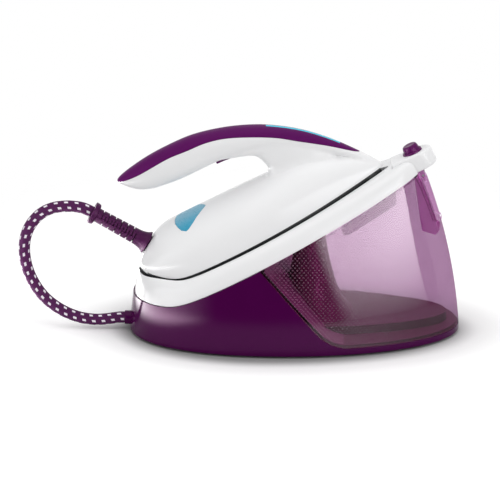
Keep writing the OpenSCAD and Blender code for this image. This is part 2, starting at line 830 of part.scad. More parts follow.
// Fill pocket in the tank's front, in side view
module pocket_side() {
    polygon([
        [front_x - 57, 2 * hinge_z], [front_x - 57, door_high + 24], [front_x - 53, door_high - 5],
        [front_x - 44, pocket_low + 4.5], [front_x - 30, pocket_low], [front_x - 15, door_low],
        [front_x - 7, door_high + 24], [front_x - 7, 2 * hinge_z]
    ]);
}
module pocket_block() {
    rotate([90, 0, 0])
        linear_extrude(2 * (pocket_half_w + tank_wall), center = true)
            pocket_side();
}
module pocket_room() {
    rotate([90, 0, 0])
        linear_extrude(2 * pocket_half_w, center = true)
            offset(delta = -tank_wall)
                pocket_side();
}
mouth_edge = 3;
mouth_x = front_x - 42;
module water_tank() {
    top_drop = slip + tank_wall;
    color(tinted)
        moulding()
            difference() {
                intersection() {
                    loft(wall_rings(rim_h / 2, slip, 0));
                    side_cut(seam(tank_gap));
                }
                pillar(tank_gap, 0);
                difference() {
                    intersection() {
                        loft(wall_rings(rim_h / 2, top_drop, tank_wall));
                        side_cut(seam(tank_gap + tank_wall));
                    }
                    pillar(tank_gap + tank_wall, 0);
                    pocket_block();
                }
                intersection() {
                    pocket_room();
                    loft(wall_rings(rim_h / 2, top_drop, tank_wall));
                }
                door_room();
                translate([mouth_x, -pocket_half_w + tank_wall, door_low + mouth_edge])
                    cube([60, 2 * (pocket_half_w - tank_wall), door_high - door_low - 2 * mouth_edge]);
                translate([front_x - 53, -6, pocket_low + 8])
                    cube([14, 12, 7]);
                translate([valve_from - past, pump_y, pump_z])
                    rotate([0, 90, 0])
                        cylinder(r = valve_r + seat, h = valve_to - valve_from + past);
            }
}

// Room in the tank's front for the door and for its swing
module door_room() {
    reach = door_half_w + tank_gap;
    intersection() {
        difference() {
            loft([for (z = [120 : 10 : 210]) egg_ring(z, -10)]);
            loft([for (z = [110 : 10 : 220]) egg_ring(z, door_t + tank_gap)]);
        }
        translate([100, -reach, door_low - tank_gap])
            cube([200, 2 * reach, 100]);
    }
    translate([hinge_x, 0, hinge_z])
        rotate([90, 0, 0])
            cylinder(r = hinge_r + 3.6, h = 2 * reach, center = true);
}

module filler_door() {
    color(tinted)
        difference() {
            union() {
                moulding()
                    difference() {
                        intersection() {
                            union() {
                                loft([for (z = [120 : 10 : 210]) egg_ring(z, 0)]);
                                intersection() {
                                    loft([for (z = [120 : 10 : 210]) egg_ring(z, -lip_out)]);
                                    translate([100, -lip_half, door_low])
                                        cube([100, 2 * lip_half, lip_h]);
                                }
                            }
                            translate([100, -door_half_w, door_low])
                                cube([100, 2 * door_half_w, door_high - door_low]);
                        }
                        loft([for (z = [110 : 10 : 220]) egg_ring(z, door_t)]);
                    }
                translate([hinge_x, 0, hinge_z])
                    rotate([90, 0, 0])
                        cylinder(r = hinge_r, h = 2 * hinge_half, center = true);
            }
            for (side = [-1, 1])
                translate([100, side * (hinge_half + slip + lug_t / 2) - lug_t / 2 - slip,
                    hinge_z - 2 * hinge_r - 2])
                    cube([100, lug_t + 2 * slip, 20]);
            translate([hinge_x, 0, hinge_z])
                rotate([90, 0, 0])
                    cylinder(r = door_pin_r + pin_play, h = 4 * tower_half_w, center = true);
        }
}

module door_pin() {
    color(steel)
        translate([hinge_x, 0, hinge_z])
            rotate([90, 0, 0])
                cylinder(r = door_pin_r, h = 2 * (hinge_half + slip + lug_t), center = true);
}

module tank_valve() {
    color(dark)
        translate([valve_from, pump_y, pump_z])
            rotate([0, 90, 0])
                difference() {
                    cylinder(r = valve_r, h = valve_to - valve_from);
                    translate([0, 0, -past])
                        cylinder(r = tube_r - past, h = valve_to - valve_from + 2 * past);
                }
}

module pump_body() {
    color([0.85, 0.85, 0.82])
        translate([pump_x, pump_y, pump_z])
            rotate([0, 90, 0])
                union() {
                    cylinder(r = tube_r + 1, h = pump_len);
                    translate([0, 0, 6])
                        cylinder(r = pump_r - 4, h = 10);
                    translate([0, 0, pump_len - 14])
                        cylinder(r = pump_r - 3, h = 8);
                }
}

module pump_coil() {
    color(copper)
        translate([pump_x + 16 + seat, pump_y, pump_z])
            difference() {
                translate([0, -coil_w / 2, -coil_w / 2])
                    cube([pump_len - 30 - 2 * seat, coil_w, coil_w]);
                translate([-past, 0, 0])
                    rotate([0, 90, 0])
                        cylinder(r = tube_r + 1 + pin_play, h = pump_len);
            }
}

module pump_mounts() {
    rest = pump_z - coil_w / 2 - plate_z;
    color(dark)
        for (dx = [18, pump_len - 24])
            translate([pump_x + dx, pump_y - coil_w / 2, plate_z])
                cube([8, coil_w, rest]);
}

module suction_tube() {
    from = pump_x + pump_len + seat;
    color(tinted)
        translate([from, pump_y, pump_z])
            rotate([0, 90, 0])
                difference() {
                    cylinder(r = tube_r, h = valve_from - from - seat);
                    translate([0, 0, -past])
                        cylinder(r = tube_r - past, h = valve_from - from + 2 * past);
                }
}

module delivery_tube() {
    inside = gland_face[0] + gland_out + housing_wall + 8;
    from = [pump_x - seat, pump_y, pump_z];
    to = [inside + seat, hose_y, gland_z];
    lead = [tube_r, 0, 0];
    color(tinted)
        tube(concat(
            [from],
            [for (share = [0 : 0.2 : 1])
                (1 - share) * (from - lead) + share * (to + lead) - [tube_r * sin(180 * share), 0, 0]],
            [to]
        ), tube_r - past, 8);
}

module control_board() {
    color(board_green)
        translate([board_x, board_y - board_w / 2, board_z])
            cube([board_len, board_w, board_t]);
}

module board_parts() {
    top = board_z + board_t;
    color(dark) {
        translate([board_x + 8, board_y - 12, top])
            cube([20, 16, 15]);
        translate([board_x + 40, board_y - 14, top])
            cylinder(r = 6, h = 20);
        translate([board_x + 40, board_y + 8, top])
            cylinder(r = 6, h = 20);
        translate([board_x + 56, board_y - 16, top])
            cube([6, 32, 16]);
    }
}

module hose_gland() {
    color(dark)
        translate(gland_face)
            rotate([0, 90, 0])
                difference() {
                    cylinder(r = gland_r, h = gland_out + housing_wall + 8);
                    translate([0, 0, -past])
                        cylinder(r = tube_r - past, h = 40);
                }
}

module mains_gland() {
    wall_x = egg(180 - asin(mains_y / base_half_w), mains_z)[0];
    color(dark)
        translate([wall_x - 7, mains_y, mains_z])
            rotate([0, 90, 0])
                difference() {
                    cylinder(r = mains_r, h = 20);
                    translate([0, 0, -past])
                        cylinder(r = 3.5, h = 40);
                }
}

// The wall of the housing at the power button
power_y = egg(90, power_z)[1] * 0.97;
module power_button() {
    color(white)
        translate([power_x, power_y - 8, power_z])
            rotate([-90, 0, 0])
                rotate_extrude()
                    polygon([[0, 0], [power_r, 0], [power_r, 10.5], [power_r - 1.5, 12], [0, 11.5]]);
}

module power_switch() {
    depth = 14;
    color(dark)
        translate([power_x - 9, power_y - 8 - power_travel - slip - depth, plate_z])
            cube([18, depth, power_z + 8 - plate_z]);
}

module soleplate() {
    color(steel)
        on_platform()
            difference() {
                slab(-3, 0, sole_t);
                for (i = [0 : 8], side = [-1, 1])
                    translate([70 + 21 * i, side * (iron_w(70 + 21 * i) - 12), -past])
                        cylinder(r = steam_hole_r, h = 2 * sole_t + past);
                for (i = [0 : 5])
                    translate([130 + 22 * i, 0, -past])
                        cylinder(r = steam_hole_r, h = 2 * sole_t + past);
            }
}

module steam_chamber() {
    color([0.6, 0.6, 0.6])
        on_platform()
            difference() {
                slab(-chamber_inset, sole_t, chamber_top);
                slab(-chamber_inset - 12, sole_t + 5, chamber_top + past);
                for (p = cover_screw_spots)
                    translate([p[0], p[1], chamber_top - 8])
                        cylinder(r = screw_r + pin_play, h = 20);
            }
}

module chamber_cover() {
    color(steel)
        on_platform()
            difference() {
                slab(-chamber_inset, chamber_top, cover_top);
                for (p = cover_screw_spots)
                    translate([p[0], p[1], 0])
                        cylinder(r = screw_r + pin_play, h = top_z);
            }
}

module cover_screws() {
    color(steel)
        on_platform()
            for (p = cover_screw_spots)
                translate([p[0], p[1], 0]) {
                    translate([0, 0, cover_top])
                        cylinder(r = screw_head_r, h = 2);
                    translate([0, 0, chamber_top - 7])
                        cylinder(r = screw_r, h = cover_top - chamber_top + 7.5);
                }
}

module heating_element() {
    color(dark)
        on_platform()
            translate([0, 0, cover_top + element_r + seat]) {
                for (side = [-1, 1])
                    translate([element_from, side * element_half, 0])
                        rotate([0, 90, 0])
                            cylinder(r = element_r, h = element_to - element_from);
                translate([element_to, 0, 0])
                    rotate([0, 0, -90])
                        rotate_extrude(angle = 180)
                            translate([element_half, 0])
                                circle(element_r);
            }
}

module thermostat() {
    color([0.75, 0.7, 0.6])
        on_platform()
            translate([80, 0, cover_top])
                union() {
                    cylinder(r = 9, h = 5);
                    cylinder(r = 6, h = 10);
                }
}

// Black skirt between the soleplate and the shell
shield_inset = 1.5;
shield_wall = 2;
module shield_form(inset, low, lift) {
    loft([for (x = dome_span(heel_end + 1 + inset, nose_x - 3 - 2 * inset))
        let (w = max(iron_w(x) - inset, 0.5), high = edge_z(x) + lift)
        [for (k = [0 : dome_sides - 1])
            let (turn = 360 * k / dome_sides, s = sin(turn), c = cos(turn))
            [x, -sign(s) * w * min(1, 1.3 * abs(s)),
            (high + low) / 2 + (high - low) / 2 * max(-1, min(1, 1.6 * c))]]]);
}
module heat_shield() {
    color(dark)
        on_platform()
            moulding()
                difference() {
                    shield_form(shield_inset, shield_low, -seat);
                    shield_form(shield_inset + shield_wall, shield_low + shield_wall, past);
                    slab(-chamber_inset + 1.5, 0, shield_low + shield_wall + past);
                    hook_slot(2 * slip);
                }
}

module iron_shell() {
    color(white)
        on_platform()
            moulding()
                difference() {
                    union() {
                        dome();
                        handle();
                        post();
                    }
                    dome(shell_wall);
                    handle(shell_wall);
                    post(shell_wall);
                    grip_side();
                    button_hole(slip);
                    translate([trigger_from - trigger_room, -trigger_half_w - slip, under_z - 20])
                        cube([
                            trigger_to - trigger_from + trigger_room + slip, 2 * (trigger_half_w + slip), 30
                        ]);
                    relief_bore();
                }
}

module relief_bore() {
    root = to_platform(relief_root[0], relief_root[2]);
    translate([root[0], 0, root[1]])
        rotate([0, tilt + relief_tilt - 90, 0])
            translate([0, 0, -14])
                cylinder(r = relief_r + slip, h = 40);
}

module handle_grip() {
    color(purple)
        on_platform()
            moulding()
                difference() {
                    intersection() {
                        handle();
                        grip_side();
                    }
                    handle(shell_wall);
                    difference() {
                        strip_side(slip / 2);
                        handle(strip_t + slip / 2);
                    }
                }
}

module indicator_strip() {
    color(cyan)
        on_platform()
            moulding()
                difference() {
                    intersection() {
                        handle();
                        strip_side(0);
                        grip_side();
                    }
                    handle(strip_t);
                }
}

function trigger_top(x) =
    under_z + 3 + (x - trigger_from) * (trigger_pin_z - under_z) / (trigger_pin_x - 4 - trigger_from);
module steam_trigger() {
    color(purple)
        on_platform()
            difference() {
                side_cut([
                    [trigger_from, under_z - trigger_drop], [trigger_from + 8, under_z - trigger_drop - 0.3],
                    [trigger_from + 16, under_z - trigger_drop - 1],
                    [trigger_from + 24, under_z - trigger_drop - 2.1],
                    [trigger_to, under_z - trigger_drop - 3.4], [trigger_to, trigger_pin_z + 2.5],
                    [trigger_pin_x - 4, trigger_top(trigger_pin_x - 4)],
                    [trigger_from, trigger_top(trigger_from)]
                ], 2 * trigger_half_w);
                translate([trigger_pin_x, 0, trigger_pin_z])
                    rotate([90, 0, 0])
                        cylinder(r = trigger_pin_r + pin_play, h = 4 * trigger_half_w, center = true);
            }
}

pin_lug_t = 2;
pin_half = trigger_half_w + slip + pin_lug_t;
module trigger_pin() {
    color(steel)
        on_platform()
            translate([trigger_pin_x, 0, trigger_pin_z])
                rotate([90, 0, 0])
                    cylinder(r = trigger_pin_r, h = 2 * pin_half, center = true);
}

module trigger_spring() {
    wire = 0.4;
    spring_x = trigger_from + 5;
    spring_r = 3;
    low = trigger_top(spring_x + spring_r + wire) + wire + seat;
    color(steel)
        on_platform()
            tube(helix(spring_x, 0, low, carrier_low - wire - seat, spring_r), wire, 6);
}

module handle_carrier() {
    color(dark)
        on_platform()
            difference() {
                moulding()
                    intersection() {
                        handle(shell_wall + seat);
                        union() {
                            translate([tail_x + 60, -handle_half_w, carrier_low])
                                cube([post_x - tail_x - 66, 2 * handle_half_w, carrier_t]);
                            for (side = [-1, 1])
                                translate([trigger_pin_x - 3,
                                    side * (pin_half - pin_lug_t / 2) - pin_lug_t / 2, under_z])
                                    cube([6, pin_lug_t, carrier_low - under_z + past]);
                        }
                    }
                translate([trigger_pin_x, 0, trigger_pin_z])
                    rotate([90, 0, 0])
                        cylinder(r = trigger_pin_r, h = 4 * trigger_half_w, center = true);
            }
}

module trigger_switch() {
    color(dark)
        on_platform()
            translate([trigger_from + 11, -4, carrier_low - 6])
                cube([12, 8, 6]);
}

module descale_button() {
    color(teal)
        on_platform()
            moulding()
                difference() {
                    intersection() {
                        dome();
                        button_hole(0);
                    }
                    dome(shell_wall + 0.5);
                }
}

module descale_switch() {
    top = spine_h - shell_wall - 0.5 - descale_travel - slip;
    color(dark)
        on_platform()
            translate([62, 0, cover_top])
                union() {
                    cylinder(r = 4, h = top - cover_top - 5);
                    translate([-4, -4, top - cover_top - 6])
                        cube([8, 8, 6]);
                }
}

module iron_board() {
    color(board_green)
        on_platform()
            translate([iron_board_x, -iron_board_w / 2, cover_top + board_post_h])
                cube([iron_board_len, iron_board_w, iron_board_t]);
}

module board_posts() {
    color(white)
        on_platform()
            for (p = iron_board_spots)
                translate([p[0], p[1] * 0.6, cover_top])
                    cylinder(r = post_r, h = board_post_h);
}

module water_tube() {
    root = to_platform(relief_root[0], relief_root[2]);
    color(tinted)
        on_platform()
            tube([
                [root[0] + 6.7, 0, root[1] - 10.3], [root[0] + 11, 0, root[1] - 17],
                [root[0] + 15, 0, cover_top + seat + 4],
                [root[0] + 15, 0, cover_top + seat]
            ], 3, 8);
}

// Slotted sleeve that guards the hose where it leaves the iron
slot_count = 6;
slot_pitch = 8;
slot_w = 1.6;
slot_depth = 1.7;
module strain_relief() {
    color(purple)
        translate(relief_root)
            rotate([0, relief_tilt - 90, 0])
                difference() {
                    rotate_extrude()
                        polygon([
                            [0, -12], [relief_r, -12], [relief_r, 0],
                            [relief_r + 4.2, 0.5], [relief_r + 2.2, 3],
                            [relief_r + 0.8, 7], [relief_r, 12], [relief_r - 0.8, relief_len - 6],
                            [relief_r + 3.2, relief_len - 5], [relief_r + 3.6, relief_len], [0, relief_len]
                        ]);
                    for (i = [0 : slot_count - 1])
                        translate([0, 0, relief_len - 11 - slot_pitch * i])
                            difference() {
                                cylinder(r = relief_r + 4, h = slot_w);
                                translate([0, 0, -past])
                                    cylinder(r = relief_r - slot_depth, h = slot_w + 2 * past);
                            }
                    translate([0, 0, -13])
                        cylinder(r = 3.4, h = relief_len + 20);
                }
}

module steam_hose() {
    color(purple)
        tube(hose_route, hose_r, 10);
}

base_housing();
base_plate();
rubber_feet();
base_screws();
platform_tray();
rest_pads();
lock_tower();
lock_button();
lock_collar();
lock_hook();
lock_spring();
lock_plate();
center_pillar();
water_tank();
tank_valve();
filler_door();
door_pin();
pump_body();
pump_coil();
pump_mounts();
suction_tube();
delivery_tube();
control_board();
board_parts();
hose_gland();
mains_gland();
power_button();
power_switch();
soleplate();
steam_chamber();
chamber_cover();
cover_screws();
heating_element();
thermostat();
heat_shield();
iron_shell();
handle_grip();
indicator_strip();
steam_trigger();
trigger_pin();
trigger_spring();
trigger_switch();
handle_carrier();
descale_button();
descale_switch();
iron_board();
board_posts();
water_tube();
strain_relief();
steam_hose();
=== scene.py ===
"""Looks of a steam generator iron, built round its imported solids.

Sizes in the classes are millimetres in the part's frame, and meshes are written in metres.
The platform frame has its origin under the iron's heel: x runs along the soleplate, z is its normal.
"""

from __future__ import annotations

import logging
import math
from dataclasses import dataclass, field
from enum import Enum
from typing import Callable, Sequence

import bpy
import numpy as np
from mathutils import Matrix, Vector

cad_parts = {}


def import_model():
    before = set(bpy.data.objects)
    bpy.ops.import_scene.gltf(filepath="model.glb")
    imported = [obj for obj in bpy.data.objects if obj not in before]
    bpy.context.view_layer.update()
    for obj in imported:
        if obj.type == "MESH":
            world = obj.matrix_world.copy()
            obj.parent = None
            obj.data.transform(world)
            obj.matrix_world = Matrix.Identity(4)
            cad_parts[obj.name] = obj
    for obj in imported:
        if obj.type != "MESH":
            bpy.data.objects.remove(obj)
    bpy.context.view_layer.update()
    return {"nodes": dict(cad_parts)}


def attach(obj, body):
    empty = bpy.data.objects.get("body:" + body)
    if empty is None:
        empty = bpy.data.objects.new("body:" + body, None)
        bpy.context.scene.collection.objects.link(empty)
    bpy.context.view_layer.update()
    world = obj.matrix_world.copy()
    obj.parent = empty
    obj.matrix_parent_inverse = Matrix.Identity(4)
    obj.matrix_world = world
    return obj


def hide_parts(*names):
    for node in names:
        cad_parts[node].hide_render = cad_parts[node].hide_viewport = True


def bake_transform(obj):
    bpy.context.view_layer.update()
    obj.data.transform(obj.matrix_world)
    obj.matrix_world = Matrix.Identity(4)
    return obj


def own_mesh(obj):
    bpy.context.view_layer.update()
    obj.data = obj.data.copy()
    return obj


LOG = logging.getLogger("steam_iron")
MM = 0.001
FULL_TURN = 2 * math.pi
FINE_RELIEF = 0.4 * MM
FAR = 300.0
Piece = bpy.types.Object
Socket = bpy.types.NodeSocket
Node = bpy.types.Node
Colour = tuple[float, float, float]
Point = Sequence[float]


class Join(Enum):
    """Ways in which one solid works on another."""

    CUT = "DIFFERENCE"
    KEEP = "INTERSECT"
    ADD = "UNION"


class Body(Enum):
    """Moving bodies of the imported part."""

    BASE = "base"
    IRON = "iron"
    LOCK_BUTTON = "lock_button"
    LOCK_HOOK = "lock_hook"
    DOOR = "filler_door"
    TRIGGER = "steam_trigger"
    DESCALE = "descale_button"
    POWER = "power_button"


def linear(red: int, green: int, blue: int) -> Colour:
    """Turns a colour as seen on a screen, 0 to 255, into linear light, 0 to 1."""
    shares = (channel / 255 for channel in (red, green, blue))
    return tuple(s / 12.92 if s <= 0.04045 else ((s + 0.055) / 1.055) ** 2.4 for s in shares)


def deselect() -> None:
    """Leaves edit mode and deselects everything."""
    if bpy.context.object is not None and bpy.context.object.mode != "OBJECT":
        bpy.ops.object.mode_set(mode="OBJECT")
    bpy.ops.object.select_all(action="DESELECT")


def activate(piece: Piece) -> Piece:
    """Selects one piece alone.

    Args:
        piece: The piece.

    Returns:
        The same piece.
    """
    deselect()
    piece.select_set(True)
    bpy.context.view_layer.objects.active = piece
    return piece


def linked(name: str, data: bpy.types.ID) -> Piece:
    """Makes an object and puts it in the scene.

    Args:
        name: Its name.
        data: Its data.

    Returns:
        The object.
    """
    thing = bpy.data.objects.new(name, data)
    bpy.context.scene.collection.objects.link(thing)
    return thing


def edit(piece: Piece, *steps: tuple[object, dict[str, object]]) -> Piece:
    """Runs mesh operators on the whole of a piece.

    Args:
        piece: The piece.
        steps: Operators and their settings, in order.

    Returns:
        The same piece.
    """
    activate(piece)
    bpy.ops.object.mode_set(mode="EDIT")
    for operator, settings in steps:
        bpy.ops.mesh.select_all(action="SELECT")
        operator(**settings)
    bpy.ops.object.mode_set(mode="OBJECT")
    return piece


def outward(piece: Piece) -> Piece:
    """Turns all faces of a closed piece outwards."""
    return edit(piece, (bpy.ops.mesh.normals_make_consistent, {"inside": False}))


def settle(piece: Piece) -> Piece:
    """Puts a piece's place, turn and size into its mesh.

    Args:
        piece: The piece.

    Returns:
        The same piece.
    """
    activate(piece)
    bpy.ops.object.transform_apply(location=True, rotation=True, scale=True)
    return piece


def piece_from(name: str, points: np.ndarray, faces: Sequence[Sequence[int]]) -> Piece:
    """Makes a mesh piece at the origin.

    Args:
        name: Name of the piece.
        points: Its points, in millimetres.
        faces: Its faces, as lists of point numbers.

    Returns:
        The new piece.
    """
    mesh = bpy.data.meshes.new(name)
    mesh.from_pydata([tuple(p) for p in np.asarray(points, float) * MM], [], [list(f) for f in faces])
    mesh.update()
    return linked(name, mesh)


def loft(name: str, rings: Sequence[np.ndarray] | np.ndarray) -> Piece:
    """Makes a closed solid through rings whose points are mirrored across the y plane.

    Args:
        name: Name of the piece.
        rings: Points by ring and by turn, in millimetres; turn 0 and the half turn lie on y = 0.

    Returns:
        The new piece.
    """
    rings = np.asarray(rings)
    count, around, _ = rings.shape
    numbers = np.arange(count * around).reshape(count, around)
    after = np.roll(numbers, -1, axis=1)
    walls = np.stack([numbers[:-1], after[:-1], after[1:], numbers[1:]], axis=-1).reshape(-1, 4).tolist()
    caps = []
    for ring, flip in ((numbers[0], True), (numbers[-1], False)):
        for i in range(around // 2):
            face = [ring[i], ring[i + 1], ring[(around - i - 1) % around], ring[(around - i) % around]]
            face = list(dict.fromkeys(int(p) for p in face))
            caps.append(face[::-1] if flip else face)
    return piece_from(name, rings.reshape(-1, 3), walls + caps)


def extruded(name: str, first: np.ndarray, second: np.ndarray) -> Piece:
    """Makes a solid between two outlines with as many points.

    Args:
        name: Name of the piece.
        first: Points of one end.
        second: Points of the other end.

    Returns:
        The new piece.
    """
    count = len(first)
    sides = [[i, (i + 1) % count, (i + 1) % count + count, i + count] for i in range(count)]
    faces = [list(range(count))[::-1], list(range(count, 2 * count))] + sides
    return outward(piece_from(name, np.vstack([first, second]), faces))


def prism(name: str, outline: Sequence[Point], half_w: float) -> Piece:
    """Makes a prism along y from points (x, z) in side view, by its half width."""
    flat = np.asarray(outline, float)
    return extruded(name, *(np.insert(flat, 1, side * half_w, axis=1) for side in (-1, 1)))


def platform_prism(name: str, outline: np.ndarray, low: float, high: float) -> Piece:
    """Makes a prism on the platform, from points (x, y) there and its lowest and highest heights."""
    return extruded(name, *(PLATFORM.to_part(np.insert(outline, 2, z, axis=1)) for z in (low, high)))


def box(name: str, low: Point, high: Point) -> Piece:
    """Adds a box between two corners, with its place in its mesh.

    Args:
        name: Name of the piece.
        low: Lowest corner, in millimetres.
        high: Highest corner.

    Returns:
        The new piece.
    """
    low_v, high_v = Vector(low) * MM, Vector(high) * MM
    deselect()
    bpy.ops.mesh.primitive_cube_add(size=1, location=(low_v + high_v) / 2)
    cube = bpy.context.object
    cube.name = name
    cube.scale = high_v - low_v
    return settle(cube)


def rod(name: str, start: Point, end: Point, radius: float, sides: int = 64) -> Piece:
    """Adds a round rod between two points, with its place in its mesh.

    Args:
        name: Name of the piece.
        start: Centre of one end, in millimetres.
        end: Centre of the other end.
        radius: Radius of the rod.
        sides: Number of its sides.

    Returns:
        The new piece.
    """
    a, b = Vector(start) * MM, Vector(end) * MM
    deselect()
    bpy.ops.mesh.primitive_cylinder_add(
        vertices=sides, radius=radius * MM, depth=(b - a).length, location=(a + b) / 2
    )
    cylinder = bpy.context.object
    cylinder.name = name
    cylinder.rotation_mode = "QUATERNION"
    cylinder.rotation_quaternion = (b - a).to_track_quat("Z", "Y")
    return settle(cylinder)


def spun(name: str, outline: Sequence[Point], root: Point, axis: Point, sides: int = 96) -> Piece:
    """Spins an outline about an axis.

    Args:
        name: Name of the piece.
        outline: Points (radius, height) in millimetres; it is closed where it stays off the axis.
        root: Point that the heights count from.
        axis: Direction of the axis.
        sides: Number of steps round.

    Returns:
        The spun piece, with its place in its mesh.
    """
    count = len(outline)
    edges = [[i, (i + 1) % count] for i in range(count)]
    closed = min(r for r, _ in outline) > 0
    mesh = bpy.data.meshes.new(name)
    mesh.from_pydata([(r * MM, 0, h * MM) for r, h in outline], edges if closed else edges[:-1], [])
    turning = {"steps": sides, "angle": FULL_TURN, "center": (0, 0, 0), "axis": (0, 0, 1), "use_auto_merge": True}
    piece = edit(
        linked(name, mesh),
        (bpy.ops.mesh.spin, turning),
        (bpy.ops.mesh.remove_doubles, {"threshold": 0.002 * MM}),
        (bpy.ops.mesh.normals_make_consistent, {"inside": False}),
    )
    turn = Vector(axis).to_track_quat("Z", "Y").to_matrix().to_4x4()
    mesh.transform(Matrix.Translation(Vector(root) * MM) @ turn)
    return piece


def slab_between(name: str, first: np.ndarray, second: np.ndarray) -> Piece:
    """Makes a closed slab between two grids of points.

    Args:
        name: Name of the piece.
        first: Points of one face, by row and column.
        second: Points of the other face.

    Returns:
        The slab.
    """
    rows, columns, _ = first.shape
    numbers = np.arange(rows * columns).reshape(rows, columns)
    cells = [numbers[:-1, :-1], numbers[:-1, 1:], numbers[1:, 1:], numbers[1:, :-1]]
    quads = np.stack(cells, axis=-1).reshape(-1, 4)
    rim = np.concatenate([numbers[0, :-1], numbers[:-1, -1], numbers[-1, :0:-1], numbers[:0:-1, 0]])
    after, away = np.roll(rim, -1), rows * columns
    walls = np.stack([rim, after, after + away, rim + away], axis=-1)
    faces = quads.tolist() + (quads[:, ::-1] + away).tolist() + walls.tolist()
    return outward(piece_from(name, np.concatenate([first.reshape(-1, 3), second.reshape(-1, 3)]), faces))


def apply_modifiers(piece: Piece) -> Piece:
    """Applies every modifier of a piece, in order.

    Args:
        piece: The piece.

    Returns:
        The same piece.
    """
    activate(piece)
    for modifier in list(piece.modifiers):
        bpy.ops.object.modifier_apply(modifier=modifier.name)
    return piece


def combine(piece: Piece, how: Join, *tools: Piece) -> Piece:
    """Cuts, keeps or adds one solid by others, which are used up.

    Args:
        piece: The solid that changes.
        how: Which way the others work on it.
        tools: The others, in order.

    Returns:
        The changed solid.
    """
    for tool in tools:
        modifier = piece.modifiers.new(how.name, "BOOLEAN")
        modifier.operation = how.value
        modifier.solver = "MANIFOLD"
        modifier.object = tool
        apply_modifiers(piece)
        bpy.data.objects.remove(tool)
    return piece


def copy_of(piece: Piece, name: str) -> Piece:
    """Copies a piece, with a mesh of its own and no parent.

    Args:
        piece: The piece.
        name: Name of the copy.

    Returns:
        The copy.
    """
    copy = linked(name, piece.data.copy())
    copy.data.materials.clear()
    return copy


def round_edges(piece: Piece, width: float, segments: int = 3, angle: float = 40) -> Piece:
    """Rounds a piece's sharp edges.

    Args:
        piece: The piece.
        width: Width of the rounding, in millimetres.
        segments: Number of its steps.
        angle: Least angle between faces, in degrees, that counts as sharp.

    Returns:
        The same piece.
    """
    modifier = piece.modifiers.new("Edges", "BEVEL")
    modifier.width = width * MM
    modifier.segments = segments
    modifier.limit_method = "ANGLE"
    modifier.angle_limit = math.radians(angle)
    modifier.use_clamp_overlap = True
    return apply_modifiers(piece)


def smooth(piece: Piece, angle: float) -> Piece:
    """Shades a piece smoothly.

    Args:
        piece: The piece.
        angle: Angle, in degrees, above which its edges stay sharp.

    Returns:
        The same piece.
    """
    activate(piece)
    bpy.ops.object.shade_smooth_by_angle(angle=math.radians(angle))
    return piece


def curve_at(points: Sequence[Point], x: np.ndarray) -> np.ndarray:
    """Reads a smooth curve through a few points.

    Args:
        points: Points (x, value), in rising order of x.
        x: Where to read it.

    Returns:
        The values there.
    """
    px, py = np.asarray(points, float).T
    order = np.arange(len(px))
    before, after = np.maximum(order - 1, 0), np.minimum(order + 1, len(px) - 1)
    slope = (py[after] - py[before]) / (px[after] - px[before])
    i = np.clip(np.searchsorted(px, x, side="right") - 1, 0, len(px) - 2)
    w = px[i + 1] - px[i]
    t = (x - px[i]) / w
    ends = py[i] * (1 + 2 * t) * (1 - t) ** 2 + py[i + 1] * t * t * (3 - 2 * t)
    return ends + w * t * (1 - t) * (slope[i] * (1 - t) - slope[i + 1] * t)


def signed_power(value: np.ndarray, power: float | np.ndarray) -> np.ndarray:
    """Raises the size of a value to a power and keeps its sign."""
    return np.sign(value) * np.abs(value) ** power


def grown(outline: np.ndarray, grow: float) -> np.ndarray:
    """Moves an anticlockwise outline's points outwards.

    Args:
        outline: The points.
        grow: The distance.

    Returns:
        The moved points.
    """
    ahead = np.roll(outline, -1, axis=0) - np.roll(outline, 1, axis=0)
    normal = np.column_stack([ahead[:, 1], -ahead[:, 0]])
    return outline + grow * normal / np.linalg.norm(normal, axis=1)[:, None]


